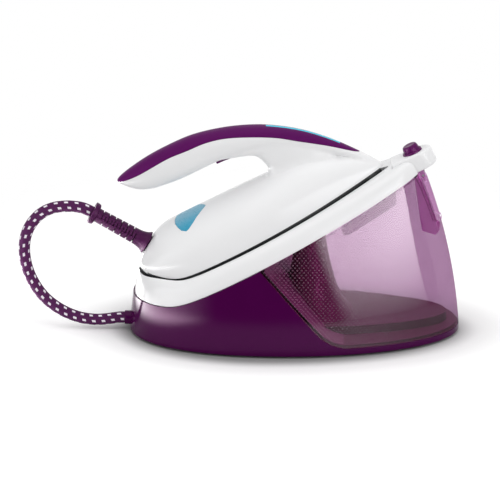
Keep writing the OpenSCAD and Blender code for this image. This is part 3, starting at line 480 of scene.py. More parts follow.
@dataclass(frozen=True)
class Platform:
    """Tilted platform that the iron rests on, and the white band round it.

    The band's lower edge and its rim follow the platform, lean a little more, and level off at the rear.
    """

    heel_x: float = -144.0
    heel_z: float = 44.0
    tilt: float = math.radians(27.0)
    bend: float = 9.0
    band_drop: float = 8.4
    band_level: float = 42.8
    band_lean: float = 0.0217
    rim_rise: float = 10.0
    rim_level: float = 68.9
    rim_lean: float = 0.0135
    heel_fall: float = 0.16
    heel_line_x: float = -119.0

    def to_part(self, points: np.ndarray) -> np.ndarray:
        """Turns points of the platform frame into points of the part's frame.

        Args:
            points: The points.

        Returns:
            The points in the part's frame.
        """
        x, y, z = np.moveaxis(np.asarray(points, float), -1, 0)
        c, s = math.cos(self.tilt), math.sin(self.tilt)
        return np.stack([self.heel_x + x * c - z * s, y, self.heel_z + x * s + z * c], axis=-1)

    def place(self, piece: Piece) -> Piece:
        """Moves a piece from the platform frame into the part's frame.

        Args:
            piece: The piece.

        Returns:
            The same piece.
        """
        turn = Matrix.Rotation(-self.tilt, 4, "Y")
        piece.data.transform(Matrix.Translation(Vector((self.heel_x, 0, self.heel_z)) * MM) @ turn)
        return piece

    def normal(self) -> np.ndarray:
        """Direction away from the platform."""
        return np.array([-math.sin(self.tilt), 0, math.cos(self.tilt)])

    def smooth_max(self, a: np.ndarray, b: np.ndarray | float) -> np.ndarray:
        """Larger of two heights, with a soft bend between them."""
        return (a + b + np.sqrt((a - b) ** 2 + self.bend**2)) / 2

    def line(self, x: np.ndarray, rise: float) -> np.ndarray:
        """Height of a side-view line at a height above the soleplate's plane."""
        return self.heel_z + (x - self.heel_x) * math.tan(self.tilt) + rise / math.cos(self.tilt)

    def band(self, x: np.ndarray, share: float, drop: float = 0.0) -> np.ndarray:
        """Height of a line of the white band.

        Args:
            x: Places along the part.
            share: Share of the way from the band's lower edge to the rim.
            drop: How far below that the line lies.

        Returns:
            The heights.
        """
        part = min(max(share, 0.0), 1.0)
        rise = -self.band_drop + share * (self.rim_rise + self.band_drop) - drop
        lean = self.band_lean + part * (self.rim_lean - self.band_lean)
        level = self.band_level + share * (self.rim_level - self.band_level) - drop
        fall = part * self.heel_fall * (self.heel_line_x - x)
        return self.smooth_max(self.line(x, rise) + lean * x, level + fall)

    def above(self, rise: float) -> Piece:
        """Makes the room above a side-view line that levels off with the band, as a prism.

        Args:
            rise: Height of the line above the soleplate's plane.

        Returns:
            The prism.
        """
        x = np.linspace(-260, 260, 105)
        line = np.column_stack([x, self.smooth_max(self.line(x, rise), self.band_level)])
        return prism("above_line", np.vstack([line, [[260, 500], [-260, 500]]]), 160)


@dataclass(frozen=True)
class Egg:
    """Egg-shaped body of the base, which narrows towards its top."""

    centre: float = -9.0
    rear: float = 164.5
    front: float = 196.0
    half_w: float = 95.0
    lean: float = 0.07
    crown: float = 0.0009
    rear_round: float = 2.25
    sides: int = 240

    def turns(self) -> np.ndarray:
        """Turns of a ring's points, in radians."""
        return FULL_TURN * np.arange(self.sides) / self.sides

    def at(self, z: np.ndarray, inset: float) -> np.ndarray:
        """Points of the body.

        Args:
            z: Heights, by turn.
            inset: Distance inside the surface.

        Returns:
            The points, by turn.
        """
        c, s = (np.where(np.abs(v) < 1e-9, 0, v) for v in (np.cos(self.turns()), np.sin(self.turns())))
        power = np.where(c < 0, 2 / self.rear_round, 1.0)
        shrink = self.lean * z + self.crown * z * z + inset
        reach = np.where(c < 0, self.rear, self.front) - shrink
        x = self.centre + reach * signed_power(c, power)
        return np.stack([x, (self.half_w - shrink) * signed_power(s, power), z], axis=-1)

    def ring(self, z: float, inset: float = 0.0) -> np.ndarray:
        """A level ring at a height."""
        return self.at(np.full(self.sides, float(z)), inset)

    def rings(self, low: float, high: float, inset: float, count: int = 20) -> np.ndarray:
        """Level rings between two heights."""
        return np.stack([self.ring(z, inset) for z in np.linspace(low, high, count)])

    def on_band(self, share: float, inset: float = 0.0, drop: float = 0.0) -> np.ndarray:
        """A ring along a line of the white band.

        Args:
            share: Share of the way from the band's lower edge to the rim.
            inset: Distance inside the surface.
            drop: How far below that line the ring lies.

        Returns:
            The ring's points.
        """
        z = np.full(self.sides, 100.0)
        for _ in range(14):
            z = PLATFORM.band(self.at(z, inset)[:, 0], share, drop)
        return self.at(z, inset)

    def walls(self, low: float, drop: float, inset: float, steps: int = 14) -> np.ndarray:
        """Rings from a height up to a line that lies a drop below the white band."""
        top = self.on_band(0.0, inset, drop)[:, 2]
        return np.stack([self.at(low + share * (top - low), inset) for share in np.linspace(0, 1, steps + 1)])


PLATFORM = Platform()
EGG = Egg()


def operator(kind: str, swapped: bool = False) -> Callable[..., Val]:
    """Makes an operator method of shader values.

    Args:
        kind: Blender's name of the operation.
        swapped: Whether the other value comes first.

    Returns:
        The method.
    """

    def method(self: Val, *others: object) -> Val:
        """Adds the operation's node and returns its result."""
        return self.graph.math(kind, *others, self) if swapped else self.graph.math(kind, self, *others)

    return method


@dataclass(frozen=True)
class Val:
    """A shader value that takes part in ordinary arithmetic."""

    graph: Graph
    socket: Socket

    __add__ = operator("ADD")
    __sub__ = operator("SUBTRACT")
    __rsub__ = operator("SUBTRACT", swapped=True)
    __mul__ = operator("MULTIPLY")
    __truediv__ = operator("DIVIDE")
    __pow__ = operator("POWER")
    __lt__ = operator("LESS_THAN")
    __gt__ = operator("GREATER_THAN")
    __abs__ = operator("ABSOLUTE")

    def squared(self) -> Val:
        """The value times itself."""
        return self * self

    def from_middle(self) -> Val:
        """Place within its whole number, counted from the middle."""
        return self.graph.math("FRACT", self) - 0.5


@dataclass(frozen=True)
class Graph:
    """A node tree with short ways to fill it."""

    tree: bpy.types.NodeTree

    def feed(self, node: Node, inputs: dict[str | int, object]) -> Node:
        """Sets or links a node's inputs.

        Args:
            node: The node.
            inputs: Numbers, colours, values or sockets, by the input's name or number.

        Returns:
            The same node.
        """
        for key, value in inputs.items():
            socket = node.inputs[key]
            source = value.socket if isinstance(value, Val) else value
            if isinstance(source, Socket):
                self.tree.links.new(source, socket)
            else:
                socket.default_value = (*source, 1) if isinstance(source, tuple) else float(source)
        return node

    def node(self, kind: str, inputs: dict[str | int, object], **settings: object) -> Node:
        """Adds a node.

        Args:
            kind: Blender's name of the node, without its prefix.
            inputs: What its inputs get.
            settings: Its other properties.

        Returns:
            The node.
        """
        node = self.tree.nodes.new(f"ShaderNode{kind}")
        for key, value in settings.items():
            setattr(node, key, value)
        return self.feed(node, inputs)

    def math(self, operation: str, *values: object) -> Val:
        """Adds a math node on numbers or values and returns its result."""
        return Val(self, self.node("Math", dict(enumerate(values)), operation=operation).outputs[0])

    def ramp(self, value: Val, low: float, high: float, top: float = 1.0) -> Val:
        """Adds a soft step from 0 at one place to its top at another and returns its result."""
        inputs = {"Value": value, "From Min": low, "From Max": high, "To Max": top}
        return Val(self, self.node("MapRange", inputs, interpolation_type="SMOOTHSTEP").outputs["Result"])

    def mix(self, factor: object, a: object, b: object) -> Socket:
        """Adds a colour mix of two colours or sockets and returns its result."""
        node = self.node("Mix", {}, data_type="RGBA")
        return self.feed(node, {"Factor": factor, "A": a, "B": b}).outputs["Result"]

    def blend(self, share: Val, a: Node | Socket, b: Node) -> Socket:
        """Adds a mix of two shaders, with a share of the second, and returns its result."""
        first = a if isinstance(a, Socket) else a.outputs[0]
        return self.node("MixShader", {0: share, 1: first, 2: b.outputs[0]}).outputs[0]

    def split(self, vector: Socket) -> list[Val]:
        """The three values of a vector."""
        return [Val(self, part) for part in self.node("SeparateXYZ", {0: vector}).outputs]

    def place(self, kind: str = "Object") -> list[Val]:
        """The three values of a texture coordinate."""
        return self.split(self.node("TexCoord", {}).outputs[kind])

    def rays(self) -> tuple[Val, Val]:
        """Tells apart the rays that light takes.

        Returns:
            Whether a ray is a mirrored one, and whether it is a mirrored, straight or refracted one.
        """
        path = self.node("LightPath", {}).outputs
        camera, glossy, through = (Val(self, path[f"Is {kind} Ray"]) for kind in ("Camera", "Glossy", "Transmission"))
        return glossy, self.math("MAXIMUM", self.math("MAXIMUM", camera, glossy), through)

    def end(self, surface: Socket, output: str = "Material Output") -> None:
        """Makes a shader the one that shows."""
        self.feed(self.tree.nodes[output], {"Surface": surface})


def new_material(name: str) -> tuple[bpy.types.Material, Graph, Node]:
    """Makes a node material.

    Args:
        name: Its name.

    Returns:
        The material, its graph and its first shader.
    """
    material = bpy.data.materials.new(name)
    material.use_nodes = True
    return material, Graph(material.node_tree), material.node_tree.nodes["Principled BSDF"]


def shaded(colour: Colour, share: float) -> Colour:
    """A colour times a share, kept within 1."""
    return tuple(min(1.0, c * share) for c in colour)


@dataclass(frozen=True)
class Moulded:
    """A moulded plastic, metal or rubber finish with fine unevenness."""

    name: str
    colour: Colour
    roughness: float = 0.3
    metallic: float = 0.0
    specular: float = 0.5
    tone: float = 0.06
    patch: float = 30.0
    grain: float = 1.2
    bump: float = 0.02
    shine: Colour = (1.0, 1.0, 1.0)

    def material(self) -> bpy.types.Material:
        """Builds the finish once.

        Returns:
            Its node material.
        """
        if self.name in bpy.data.materials:
            return bpy.data.materials[self.name]
        material, graph, shader = new_material(self.name)
        spot = graph.node("TexCoord", {}).outputs["Object"]
        clouds, fine = (
            graph.node("TexNoise", {"Vector": spot, "Scale": 1 / (size * MM), "Detail": detail}).outputs["Fac"]
            for size, detail in ((self.patch, 2.0), (self.grain, 3.0))
        )
        limits = {"To Min": max(0.02, self.roughness * 0.85), "To Max": min(1.0, self.roughness * 1.15)}
        rough = graph.node("MapRange", {"Value": fine, **limits})
        relief = graph.node("Bump", {"Height": fine, "Strength": self.bump, "Distance": FINE_RELIEF})
        tones = (shaded(self.colour, 1 - self.tone), shaded(self.colour, 1 + self.tone))
        graph.feed(shader, {
            "Base Color": graph.mix(clouds, *tones), "Roughness": rough.outputs["Result"], "Metallic": self.metallic,
            "Specular IOR Level": self.specular, "Specular Tint": self.shine, "Normal": relief.outputs["Normal"],
        })
        return material


@dataclass(frozen=True)
class ClearTint:
    """Clear tinted plastic of the tank, with fine dots near its seam and a level weld line."""

    name: str = "tinted_clear"
    wall: Colour = (0.58, 0.425, 0.56)
    edge: Colour = (0.46, 0.27, 0.43)
    mirror: Colour = (1.0, 0.93, 0.98)
    gloss: float = 0.03
    dots: bool = True
    dot: Colour = linear(236, 180, 212)
    dot_pitch: float = 4.6
    dot_row: float = 2.5
    dot_size: tuple[float, float] = (0.23, 0.3)
    dot_fade: tuple[float, float] = (85.0, 140.0)
    dot_strength: float = 0.13
    dot_gloss: float = 0.4
    weld_z: float = 91.0
    weld_strength: float = 0.3
    weld_half_w: float = 0.5
    lengthwise: float = 0.28
    outward_least: float = 0.004
    shell_least: float = 0.86

    def material(self) -> bpy.types.Material:
        """Builds the finish once.

        Returns:
            Its node material.
        """
        if self.name in bpy.data.materials:
            return bpy.data.materials[self.name]
        material, graph, ink = new_material(self.name)
        x, y, z = graph.place()
        outer, near = self.faces(graph, x, y, z)
        facing = Val(graph, graph.node("LayerWeight", {"Blend": 0.5}).outputs["Facing"])
        tint = graph.mix(outer, (1.0, 1.0, 1.0), graph.mix(facing**4.0, self.wall, self.edge))
        shine = (facing**5.0 * (5 * self.gloss) + self.gloss) * near
        clear = graph.node("BsdfTransparent", {})
        mirror = graph.node("BsdfGlossy", {"Roughness": 0.03, "Color": self.mirror})
        if self.dots:
            dotted, weld = self.pattern(graph, x, z)
            tint = graph.mix(weld * near, tint, self.edge)
            graph.feed(ink, {"Base Color": self.dot, "Roughness": 0.3})
            surface = graph.blend(shine * (dotted * self.dot_gloss + 1.0), clear, mirror)
            surface = graph.blend(dotted * self.dot_strength * near, surface, ink)
        else:
            graph.tree.nodes.remove(ink)
            surface = graph.blend(shine, clear, mirror)
        graph.feed(clear, {"Color": tint})
        graph.end(surface)
        return material

    def faces(self, graph: Graph, x: Val, y: Val, z: Val) -> tuple[Val, Val]:
        """Tells the wall's outer faces from its inner ones.

        Args:
            graph: The material's nodes.
            x: Place along the part.
            y: Place across it.
            z: Height.

        Returns:
            Whether a face looks away from the tank's middle, and whether it is seen from that side too.
        """
        shape = graph.node("NewGeometry", {}).outputs
        ahead, aside, _ = graph.split(shape["True Normal"])
        seen = 1.0 - Val(graph, shape["Backfacing"])
        outwards = (x * self.lengthwise * ahead + y * aside) * (seen * 2.0 - 1.0) > self.outward_least
        lean = z * (z * (EGG.crown / MM) + EGG.lean)
        along = (x - EGG.centre * MM) / (EGG.front * MM - lean)
        across = y / (EGG.half_w * MM - lean)
        outer = outwards * (along.squared() + across.squared() > self.shell_least)
        return outer, outer * seen

    def pattern(self, graph: Graph, x: Val, z: Val) -> tuple[Val, Val]:
        """Adds the printed dots and the weld line.

        Args:
            graph: The material's nodes.
            x: Place along the part.
            z: Height.

        Returns:
            How strong the dots are, and how strong the weld line is.
        """
        row = z * (1 / (self.dot_row * MM))
        shift = graph.math("FLOORED_MODULO", graph.math("FLOOR", row), 2.0) * 0.5
        column = x * (1 / (self.dot_pitch * MM)) + shift
        across, along = column.from_middle() / self.dot_size[0], row.from_middle() / self.dot_size[1]
        inside = across.squared() + along.squared() < 1.0
        near, far = self.dot_fade
        limits = {"From Min": near, "From Max": far, "To Min": 1.0, "To Max": 0.0}
        fade = graph.node("MapRange", {"Value": x * 1000.0 + z * 320.0, **limits})
        weld = (abs(z - self.weld_z * MM) < self.weld_half_w * MM) * self.weld_strength
        return inside * Val(graph, fade.outputs["Result"]), weld


@dataclass(frozen=True)
class Braid:
    """Woven cover of the hose, dark purple with rows of white flecks."""

    name: str = "braided_cover"
    yarn: Colour = linear(80, 34, 78)
    fleck: Colour = linear(238, 232, 240)
    pitch: float = 10.5
    rows: int = 6
    fleck_size: tuple[float, float] = (0.18, 0.19)
    weave: float = 1.4
    strands: int = 14

    def material(self) -> bpy.types.Material:
        """Builds the finish, which reads the hose's UV map: metres along and turns around.

        Returns:
            Its node material.
        """
        material, graph, shader = new_material(self.name)
        run, turn, _ = graph.place("UV")
        along, around = run * 1000.0, turn * self.rows
        cross = around.from_middle()
        local = (along / self.pitch + graph.math("FLOOR", around) / 3.0 + cross * 0.16).from_middle()
        white = (abs(local) < self.fleck_size[0]) * (abs(cross) < self.fleck_size[1])
        lines = [
            graph.math("SINE", along * (FULL_TURN / self.weave / 2) + turn * (lean * FULL_TURN * self.strands))
            for lean in (1, -1)
        ]
        woven = lines[0] * lines[1]
        yarn = graph.mix(woven * 0.35 + 0.5, shaded(self.yarn, 0.72), shaded(self.yarn, 1.3))
        relief = graph.node("Bump", {"Height": woven + white * 0.6, "Strength": 0.45, "Distance": FINE_RELIEF})
        graph.feed(shader, {
            "Base Color": graph.mix(white, yarn, self.fleck), "Roughness": 0.72, "Specular IOR Level": 0.08,
            "Sheen Weight": 0.04, "Normal": relief.outputs["Normal"],
        })
        return material


ROSE = (1, 0.65, 0.9)
DULL = {"roughness": 0.4, "specular": 0.2, "shine": ROSE, "tone": 0.08}
WHITE = Moulded("white_gloss", linear(237, 237, 238), roughness=0.14, specular=0.11, tone=0.01, bump=0.01)
PLUM = Moulded("plum_gloss", linear(66, 2, 62), roughness=0.12, specular=0.14, shine=ROSE, tone=0.04)
PLUM_DEEP = Moulded("plum_inner", linear(128, 46, 96), **DULL)
# Lighter copy of the inner plum: painted light on the tank's upper inner wall, which lies in shade.
PLUM_WALL_LIT = Moulded("plum_wall_painted_light", linear(164, 82, 133), **DULL)
# Darker copy of the inner plum: painted shade on the sides of the tank's floor step.
PLUM_STEP_SHADE = Moulded("plum_step_painted_shade", linear(70, 14, 48), **DULL)
PURPLE = Moulded("purple_gloss", linear(86, 18, 82), roughness=0.28, specular=0.15, shine=(1, 0.7, 0.9))
GRIP = Moulded(
    "grip_soft_touch", linear(86, 16, 86), roughness=0.5, specular=0.08, shine=(1, 0.65, 0.95), grain=0.9, bump=0.25
)
RELIEF = Moulded("purple_satin", linear(62, 14, 59), roughness=0.45, specular=0.2, shine=(1, 0.7, 0.9))
TEAL = Moulded("teal_gloss", linear(52, 155, 188), roughness=0.28, specular=0.3)
CYAN = Moulded("cyan_gloss", linear(0, 196, 226), roughness=0.15, specular=0.2, tone=0.05)
GREY = Moulded("grey_satin", linear(150, 150, 152), roughness=0.4)
BLACK = Moulded("black_plastic", linear(18, 20, 23), roughness=0.35, tone=0.1)
PALE = Moulded("pale_satin", linear(205, 205, 198), roughness=0.45)
RUBBER = Moulded("rubber_matt", linear(30, 30, 31), roughness=0.75, bump=0.15)
STEEL = Moulded("plain_steel", linear(190, 190, 194), roughness=0.28, metallic=1.0)
SOLE = Moulded("sole_polish", linear(205, 205, 208), roughness=0.18, metallic=1.0, grain=0.6)
CAST = Moulded("cast_rough", linear(165, 165, 167), roughness=0.55, metallic=1.0, bump=0.3)
COPPER = Moulded("copper_winding", linear(190, 112, 70), roughness=0.35, metallic=1.0)
BOARD = Moulded("board_varnish", linear(34, 92, 58), roughness=0.4)
CUP = Moulded("purple_translucent", linear(240, 165, 230), roughness=0.35, specular=0.2, tone=0.04)
HINGE = Moulded("purple_hinge", linear(176, 112, 168), roughness=0.3, specular=0.2, tone=0.03)
CLEAR = ClearTint()
CLEAR_DOOR = ClearTint("tinted_clear_door", dots=False, wall=(0.68, 0.46, 0.65), edge=(0.5, 0.28, 0.48))
CLEAR_RIB = ClearTint("tinted_clear_rib", dots=False, wall=(0.40, 0.16, 0.38), edge=(0.2, 0.08, 0.2), gloss=0.0)


@dataclass
class Dresser:
    """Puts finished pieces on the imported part."""

    nodes: dict[str, Piece]
    made: list[str] = field(default_factory=list)

    def dress(
        self, piece: Piece, finish: Moulded | ClearTint, body: Body, slot: str, *replaced: str, angle: float = 30
    ) -> Piece:
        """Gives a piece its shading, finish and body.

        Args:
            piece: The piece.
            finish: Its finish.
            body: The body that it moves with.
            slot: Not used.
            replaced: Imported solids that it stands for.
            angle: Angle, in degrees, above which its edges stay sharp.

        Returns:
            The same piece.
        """
        smooth(piece, angle)
        piece.data.materials.clear()
        piece.data.materials.append(finish.material())
        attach(piece, body.value)
        if replaced:
            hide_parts(*replaced)
        self.made.append(piece.name)
        LOG.info("%s: %d faces on %s", piece.name, len(piece.data.polygons), body.value)
        return piece

    def copy(self, node: str, name: str, rounding: float = 0.0) -> Piece:
        """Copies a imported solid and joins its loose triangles.

        Args:
            node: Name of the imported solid.
            name: Name of the copy.
            rounding: Width of the rounding of its edges, if any.

        Returns:
            The copy, as one closed mesh.
        """
        copy = copy_of(self.nodes[node], name)
        for key in list(copy.keys()):
            del copy[key]
        edit(
            copy,
            (bpy.ops.mesh.remove_doubles, {"threshold": 0.02 * MM}),
            (bpy.ops.mesh.dissolve_limited, {"angle_limit": math.radians(0.5)}),
        )
        return round_edges(copy, rounding) if rounding else copy

    def keep(self, finish: Moulded, *names: str) -> None:
        """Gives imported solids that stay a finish.

        Args:
            finish: The finish.
            names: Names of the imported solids.
        """
        for name in names:
            materials = self.nodes[name].data.materials
            materials.clear()
            materials.append(finish.material())


@dataclass
class Studio:
    """Camera, lamps, floor and background. Its sizes are metres."""

    distance: float = 2.2
    elevation: float = math.radians(18.5)
    pixel: float = 1.08 * MM
    frame_px: float = 500.0
    sensor: float = 36.0
    floor_tone: Colour = (0.93, 0.93, 0.93)
    # Tone of the painted shadow that darkens the floor round the base's foot.
    painted_shadow_tone: Colour = (0.3, 0.3, 0.3)
    floor_lift: float = 0.26
    ambient: float = 0.59
    left_panel: float = 8.0
    # Strength of a painted reflection: a floor patch left of the base that glows only for mirrored rays.
    painted_reflection_glow: float = 28.0
    right_panel: float = 15.0
    aim: Point = (-0.0416, -0.0064, 0.0909)
    stand: Point = (-0.001, 0.0, 0.110)
    # Middle, front and rear reach and half width of the painted shadow's ellipse round the base; the floor's white
    # lift also fades out inside it.
    painted_shadow_middle: float = -0.025
    painted_shadow_front: float = 0.195
    painted_shadow_rear: float = 0.145
    painted_shadow_half_w: float = 0.1

    def build(self) -> None:
        """Sets up the whole studio."""
        self.camera()
        self.world()
        self.floor()
        self.lamp("top", (0.0, -0.2, 1.9), (0, 0, 0.1), (2.2, 1.6), 12.4)
        self.lamp("left", (-1.9, -0.9, 0.7), (-0.05, 0, 0.1), (0.8, 1.6), 6.1)
        self.lamp("front", (0.5, -2.2, 1.5), (0.0, 0, 0.1), (1.0, 0.8), 2.0)
        self.lamp("right", (1.6, -1.2, 0.9), (0.1, 0, 0.12), (0.8, 0.8), 8.5).visible_glossy = False
        bpy.context.scene.view_settings.view_transform = "Standard"

    def camera(self) -> None:
        """Adds the camera at the photograph's viewing angle."""
        data = bpy.data.cameras.new("camera")
        data.sensor_width = self.sensor
        data.lens = self.distance / self.pixel / self.frame_px * self.sensor
        data.clip_end = 50
        camera = linked("camera", data)
        away = Vector((0, -math.cos(self.elevation), math.sin(self.elevation)))
        camera.location = Vector(self.stand) + self.distance * away
        camera.rotation_euler = (Vector(self.aim) - camera.location).to_track_quat("-Z", "Y").to_euler()
        bpy.context.scene.camera = camera

    def lamp(self, name: str, place: Point, target: Point, size: Point, power: float) -> Piece:
        """Adds one soft rectangular lamp.

        Args:
            name: Name of the lamp.
            place: Where it stands.
            target: What it points at.
            size: Its width and height.
            power: Its power, in watts.

        Returns:
            The lamp.
        """
        data = bpy.data.lights.new(name, "AREA")
        data.shape = "RECTANGLE"
        data.size, data.size_y = size
        data.energy = power
        lamp = linked(name, data)
        lamp.location = place
        lamp.rotation_euler = (Vector(target) - Vector(place)).to_track_quat("-Z", "Y").to_euler()
        return lamp

    def world(self) -> None:
        """Makes the background white where it is seen, a studio where it is mirrored, and softer as light."""
        world = bpy.data.worlds.new("studio")
        bpy.context.scene.world = world
        world.use_nodes = True
        graph = Graph(world.node_tree)
        glossy, direct = graph.rays()
        white = (1, 1, 1)
        light = graph.feed(graph.tree.nodes["Background"], {"Color": white, "Strength": self.ambient})
        strength = glossy * (self.reflected_room(graph) - 1.0) + 1.0
        seen = graph.node("Background", {"Color": white, "Strength": strength})
        graph.end(graph.blend(direct, light, seen), "World Output")

    def reflected_room(self, graph: Graph) -> Val:
        """Room that glossy surfaces mirror: dark in front, with a tall bright panel on either side.

        Args:
            graph: The world's nodes.

        Returns:
            Brightness of the room by direction.
        """
        x, y, z = graph.place("Generated")
        dark = graph.ramp((z + 0.18) * 0.79 + y, 0.02, -0.02, 0.95) * graph.ramp(z, 0.75, 0.35)
        left = graph.ramp(x, -0.4, -0.95, self.left_panel)
        right = graph.ramp(z * 0.54 + x, 0.28, 0.38) * graph.ramp(z * 0.298 + x, 0.912, 0.899)
        right = right * (graph.ramp(x, 0.25, 0.85, 0.5) + 0.5)
        height = graph.ramp(z, -0.2, 0.24, self.right_panel) * graph.ramp(z, 0.4, 0.28)
        return dark * (right * height + left - 1.0) + 1.0

    def floor(self) -> None:
        """Adds a pale floor that keeps the object's shadow, with a painted shadow round the base's foot and a painted
        reflection glow at its left, and fades into the white background.
        """
        deselect()
        bpy.ops.mesh.primitive_plane_add(size=2.4, location=(0, 0, 0))
        plane = settle(bpy.context.object)
        plane.name = "floor"
        material, graph, shader = new_material("pale_floor")
        x, y, _ = graph.place()
        glossy, seen = graph.rays()
        # Painted shadow: the floor's colour darkens inside an ellipse round the base's foot, and its white lift fades
        # out there too.
        ahead = x - self.painted_shadow_middle
        along = graph.math("MAXIMUM", ahead / self.painted_shadow_front, ahead / -self.painted_shadow_rear)
        off = graph.math("SQRT", along.squared() + (y / self.painted_shadow_half_w).squared())
        # Painted reflection: this floor patch glows only for mirrored rays and puts a highlight on the base's left
        # side.
        painted_glint = graph.ramp(x, -0.245, -0.36, self.painted_reflection_glow)
        graph.feed(shader, {
            "Base Color": graph.mix(graph.ramp(off, 0.98, 1.22), self.painted_shadow_tone, self.floor_tone),
            "Roughness": 0.6, "Specular IOR Level": 0.1, "Emission Color": (1, 1, 1),
            "Emission Strength": painted_glint * glossy + seen * graph.ramp(off, 1.05, 1.6, self.floor_lift),
        })
        fade = graph.ramp(graph.math("SQRT", x.squared() + y.squared()), 0.32, 0.62)
        graph.end(graph.blend(fade, shader, graph.node("BsdfTransparent", {})))
        plane.data.materials.append(material)


@dataclass
class SteamHose:
    """Braided hose that hangs in an open loop from the base to the iron."""

    dresser: Dresser
    radius: float = 6.2
    sides: int = 28
    steps: int = 9
    relief_root: Point = (-152.4, 0.0, 96.3)
    relief_tilt: float = math.radians(30)
    slot_first: float = 16.5
    slot_pitch: float = 7.4
    slot_half_w: float = 0.75
    route: tuple[Point, ...] = (
        (-178.74, -8, 13), (-183.44, -8, 13), (-186, -8, 12.7), (-191, -8, 12), (-196, -8, 11.2), (-203, -8, 10.4),
        (-211, -8, 10.2), (-220, -7.8, 11), (-229, -7.5, 12.8), (-241, -7, 17.2), (-252.5, -6, 23.5),
        (-262.8, -5, 31.5), (-271, -4.5, 41), (-277.3, -4, 51.5), (-282.3, -3.5, 63), (-285.4, -3, 75.5),
        (-286.5, -2, 88), (-285.2, -1.5, 100.5), (-281, -1, 112.5), (-273.6, 0, 123), (-264.3, 0, 130.8),
        (-253, 0, 135.6), (-240.5, 0, 137.3), (-230.5, 0, 137), (-222.5, 0, 135.6), (-215.706, 0, 132.85),
        (-212.242, 0, 130.85),
    )

    def on_axis(self, *heights: float) -> list[np.ndarray]:
        """Points on the strain relief's axis, by their distance from the iron."""
        axis = np.array([-math.cos(self.relief_tilt), 0, math.sin(self.relief_tilt)])
        return [np.asarray(self.relief_root) + height * axis for height in heights]

    def path(self) -> np.ndarray:
        """Runs a smooth curve through the hose's route.

        Returns:
            Points along the hose's middle line.
        """
        knots = np.asarray(self.route, float)
        before = np.vstack([2 * knots[:1] - knots[1:2], knots[:-1]])
        after = np.vstack([knots[1:], 2 * knots[-1:] - knots[-2:-1]])
        pull = (after - before) / 2
        points = [knots[0]]
        for i in range(len(knots) - 1):
            for t in np.arange(1, self.steps + 1) / self.steps:
                h = (2 * t**3 - 3 * t**2 + 1, t**3 - 2 * t**2 + t, 3 * t**2 - 2 * t**3, t**3 - t**2)
                points.append(h[0] * knots[i] + h[1] * pull[i] + h[2] * knots[i + 1] + h[3] * pull[i + 1])
        return np.asarray(points)

    def build(self) -> None:
        """Makes the hose and its strain relief."""
        path = self.path()
        ahead = np.gradient(path, axis=0)
        ahead /= np.linalg.norm(ahead, axis=1)[:, None]
        side = np.cross(ahead, [0, 1, 0.001])
        side /= np.linalg.norm(side, axis=1)[:, None]
        up = np.cross(side, ahead)
        run = np.concatenate([[0], np.cumsum(np.linalg.norm(np.diff(path, axis=0), axis=1))])
        turn = FULL_TURN * np.arange(self.sides + 1) / self.sides
        off = np.cos(turn)[None, :, None] * side[:, None] + np.sin(turn)[None, :, None] * up[:, None]
        hose = self.skin(path[:, None] + self.radius * off, run, turn / FULL_TURN)
        hose.data.materials.append(Braid().material())
        smooth(hose, 60)
        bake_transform(hose)
        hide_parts("steam_hose")
        self.dresser.made.append(hose.name)
        self.relief()

    def skin(self, shell: np.ndarray, run: np.ndarray, share: np.ndarray) -> Piece:
        """Makes the tube with a map of distance along it and turn around it.

        Args:
            shell: Points by ring and turn, the first turn repeated at the end.
            run: Distance along, by ring.
            share: Share of a turn, by point.

        Returns:
            The tube, closed at both ends.
        """
        count, around = shell.shape[0], shell.shape[1] - 1
        faces, marks = [], []
        for j in range(count - 1):
            for i in range(around):
                k = (i + 1) % around
                faces.append([j * around + i, (j + 1) * around + i, (j + 1) * around + k, j * around + k])
                marks += [(run[a], share[b]) for a, b in ((j, i), (j + 1, i), (j + 1, i + 1), (j, i + 1))]
        for ring, step in ((0, 1), (count - 1, -1)):
            faces.append([ring * around + i for i in range(around)][::step])
            marks += [(run[ring], 0.0)] * around
        hose = piece_from("hose_braid", shell[:, :around].reshape(-1, 3), faces)
        uv = hose.data.uv_layers.new(name="UVMap")
        uv.data.foreach_set("uv", (np.asarray(marks) * [MM, 1.0]).astype(np.float32).ravel())
        return outward(hose)

    def relief(self) -> None:
        """Makes the slotted strain relief."""
        outline = (
            (3.4, -11.5), (8.4, -11.5), (8.6, -2.0), (8.7, 0.6), (12.2, 0.7), (12.7, 1.0), (12.6, 1.7), (11.6, 3.0),
            (10.4, 5.2), (9.5, 8.0), (8.9, 11.0), (8.6, 14.0), (7.8, 61.3), (7.9, 62.4), (10.0, 63.0), (11.2, 63.4),
            (11.9, 64.8), (12.2, 68.4), (11.9, 68.8), (7.0, 68.8), (6.6, 68.2), (6.6, 59.8), (3.4, 57.8),
        )
        root, tip = self.on_axis(0, 1)
        sleeve = spun("strain_relief_sleeve", outline, root, tip - root)
        over = np.array([math.sin(self.relief_tilt), 0, math.cos(self.relief_tilt)])
        turn = Matrix.Rotation(self.relief_tilt, 4, "Y")
        for i in range(6):
            for lift, lean, low, high in ((-2.4, 0.0, -7.2, 7.2), (3.6, 3.9, -3.6, 9.0)):
                middle = self.on_axis(self.slot_first + self.slot_pitch * i + lean)[0] + over * lift
                slot = box("slot", (-self.slot_half_w, -14, low), (self.slot_half_w, 14, high))
                slot.data.transform(Matrix.Translation(Vector(middle) * MM) @ turn)
                combine(slot, Join.CUT, rod("core", *self.on_axis(10, 60), 6.3, 48))
                combine(sleeve, Join.CUT, slot)
        round_edges(sleeve, 0.2, 2, 50)
        self.dresser.dress(sleeve, RELIEF, Body.IRON, "purple_plastic", "strain_relief", angle=35)


# Height, rear, front and half width of the pillar.
PILLAR_ROWS = np.array([
    (9, -20, 86, 60), (20, -12, 70, 48), (40, -2, 54, 36), (70, 6, 44, 27), (105, 9, 37, 22), (150, 10, 34, 20),
], float)


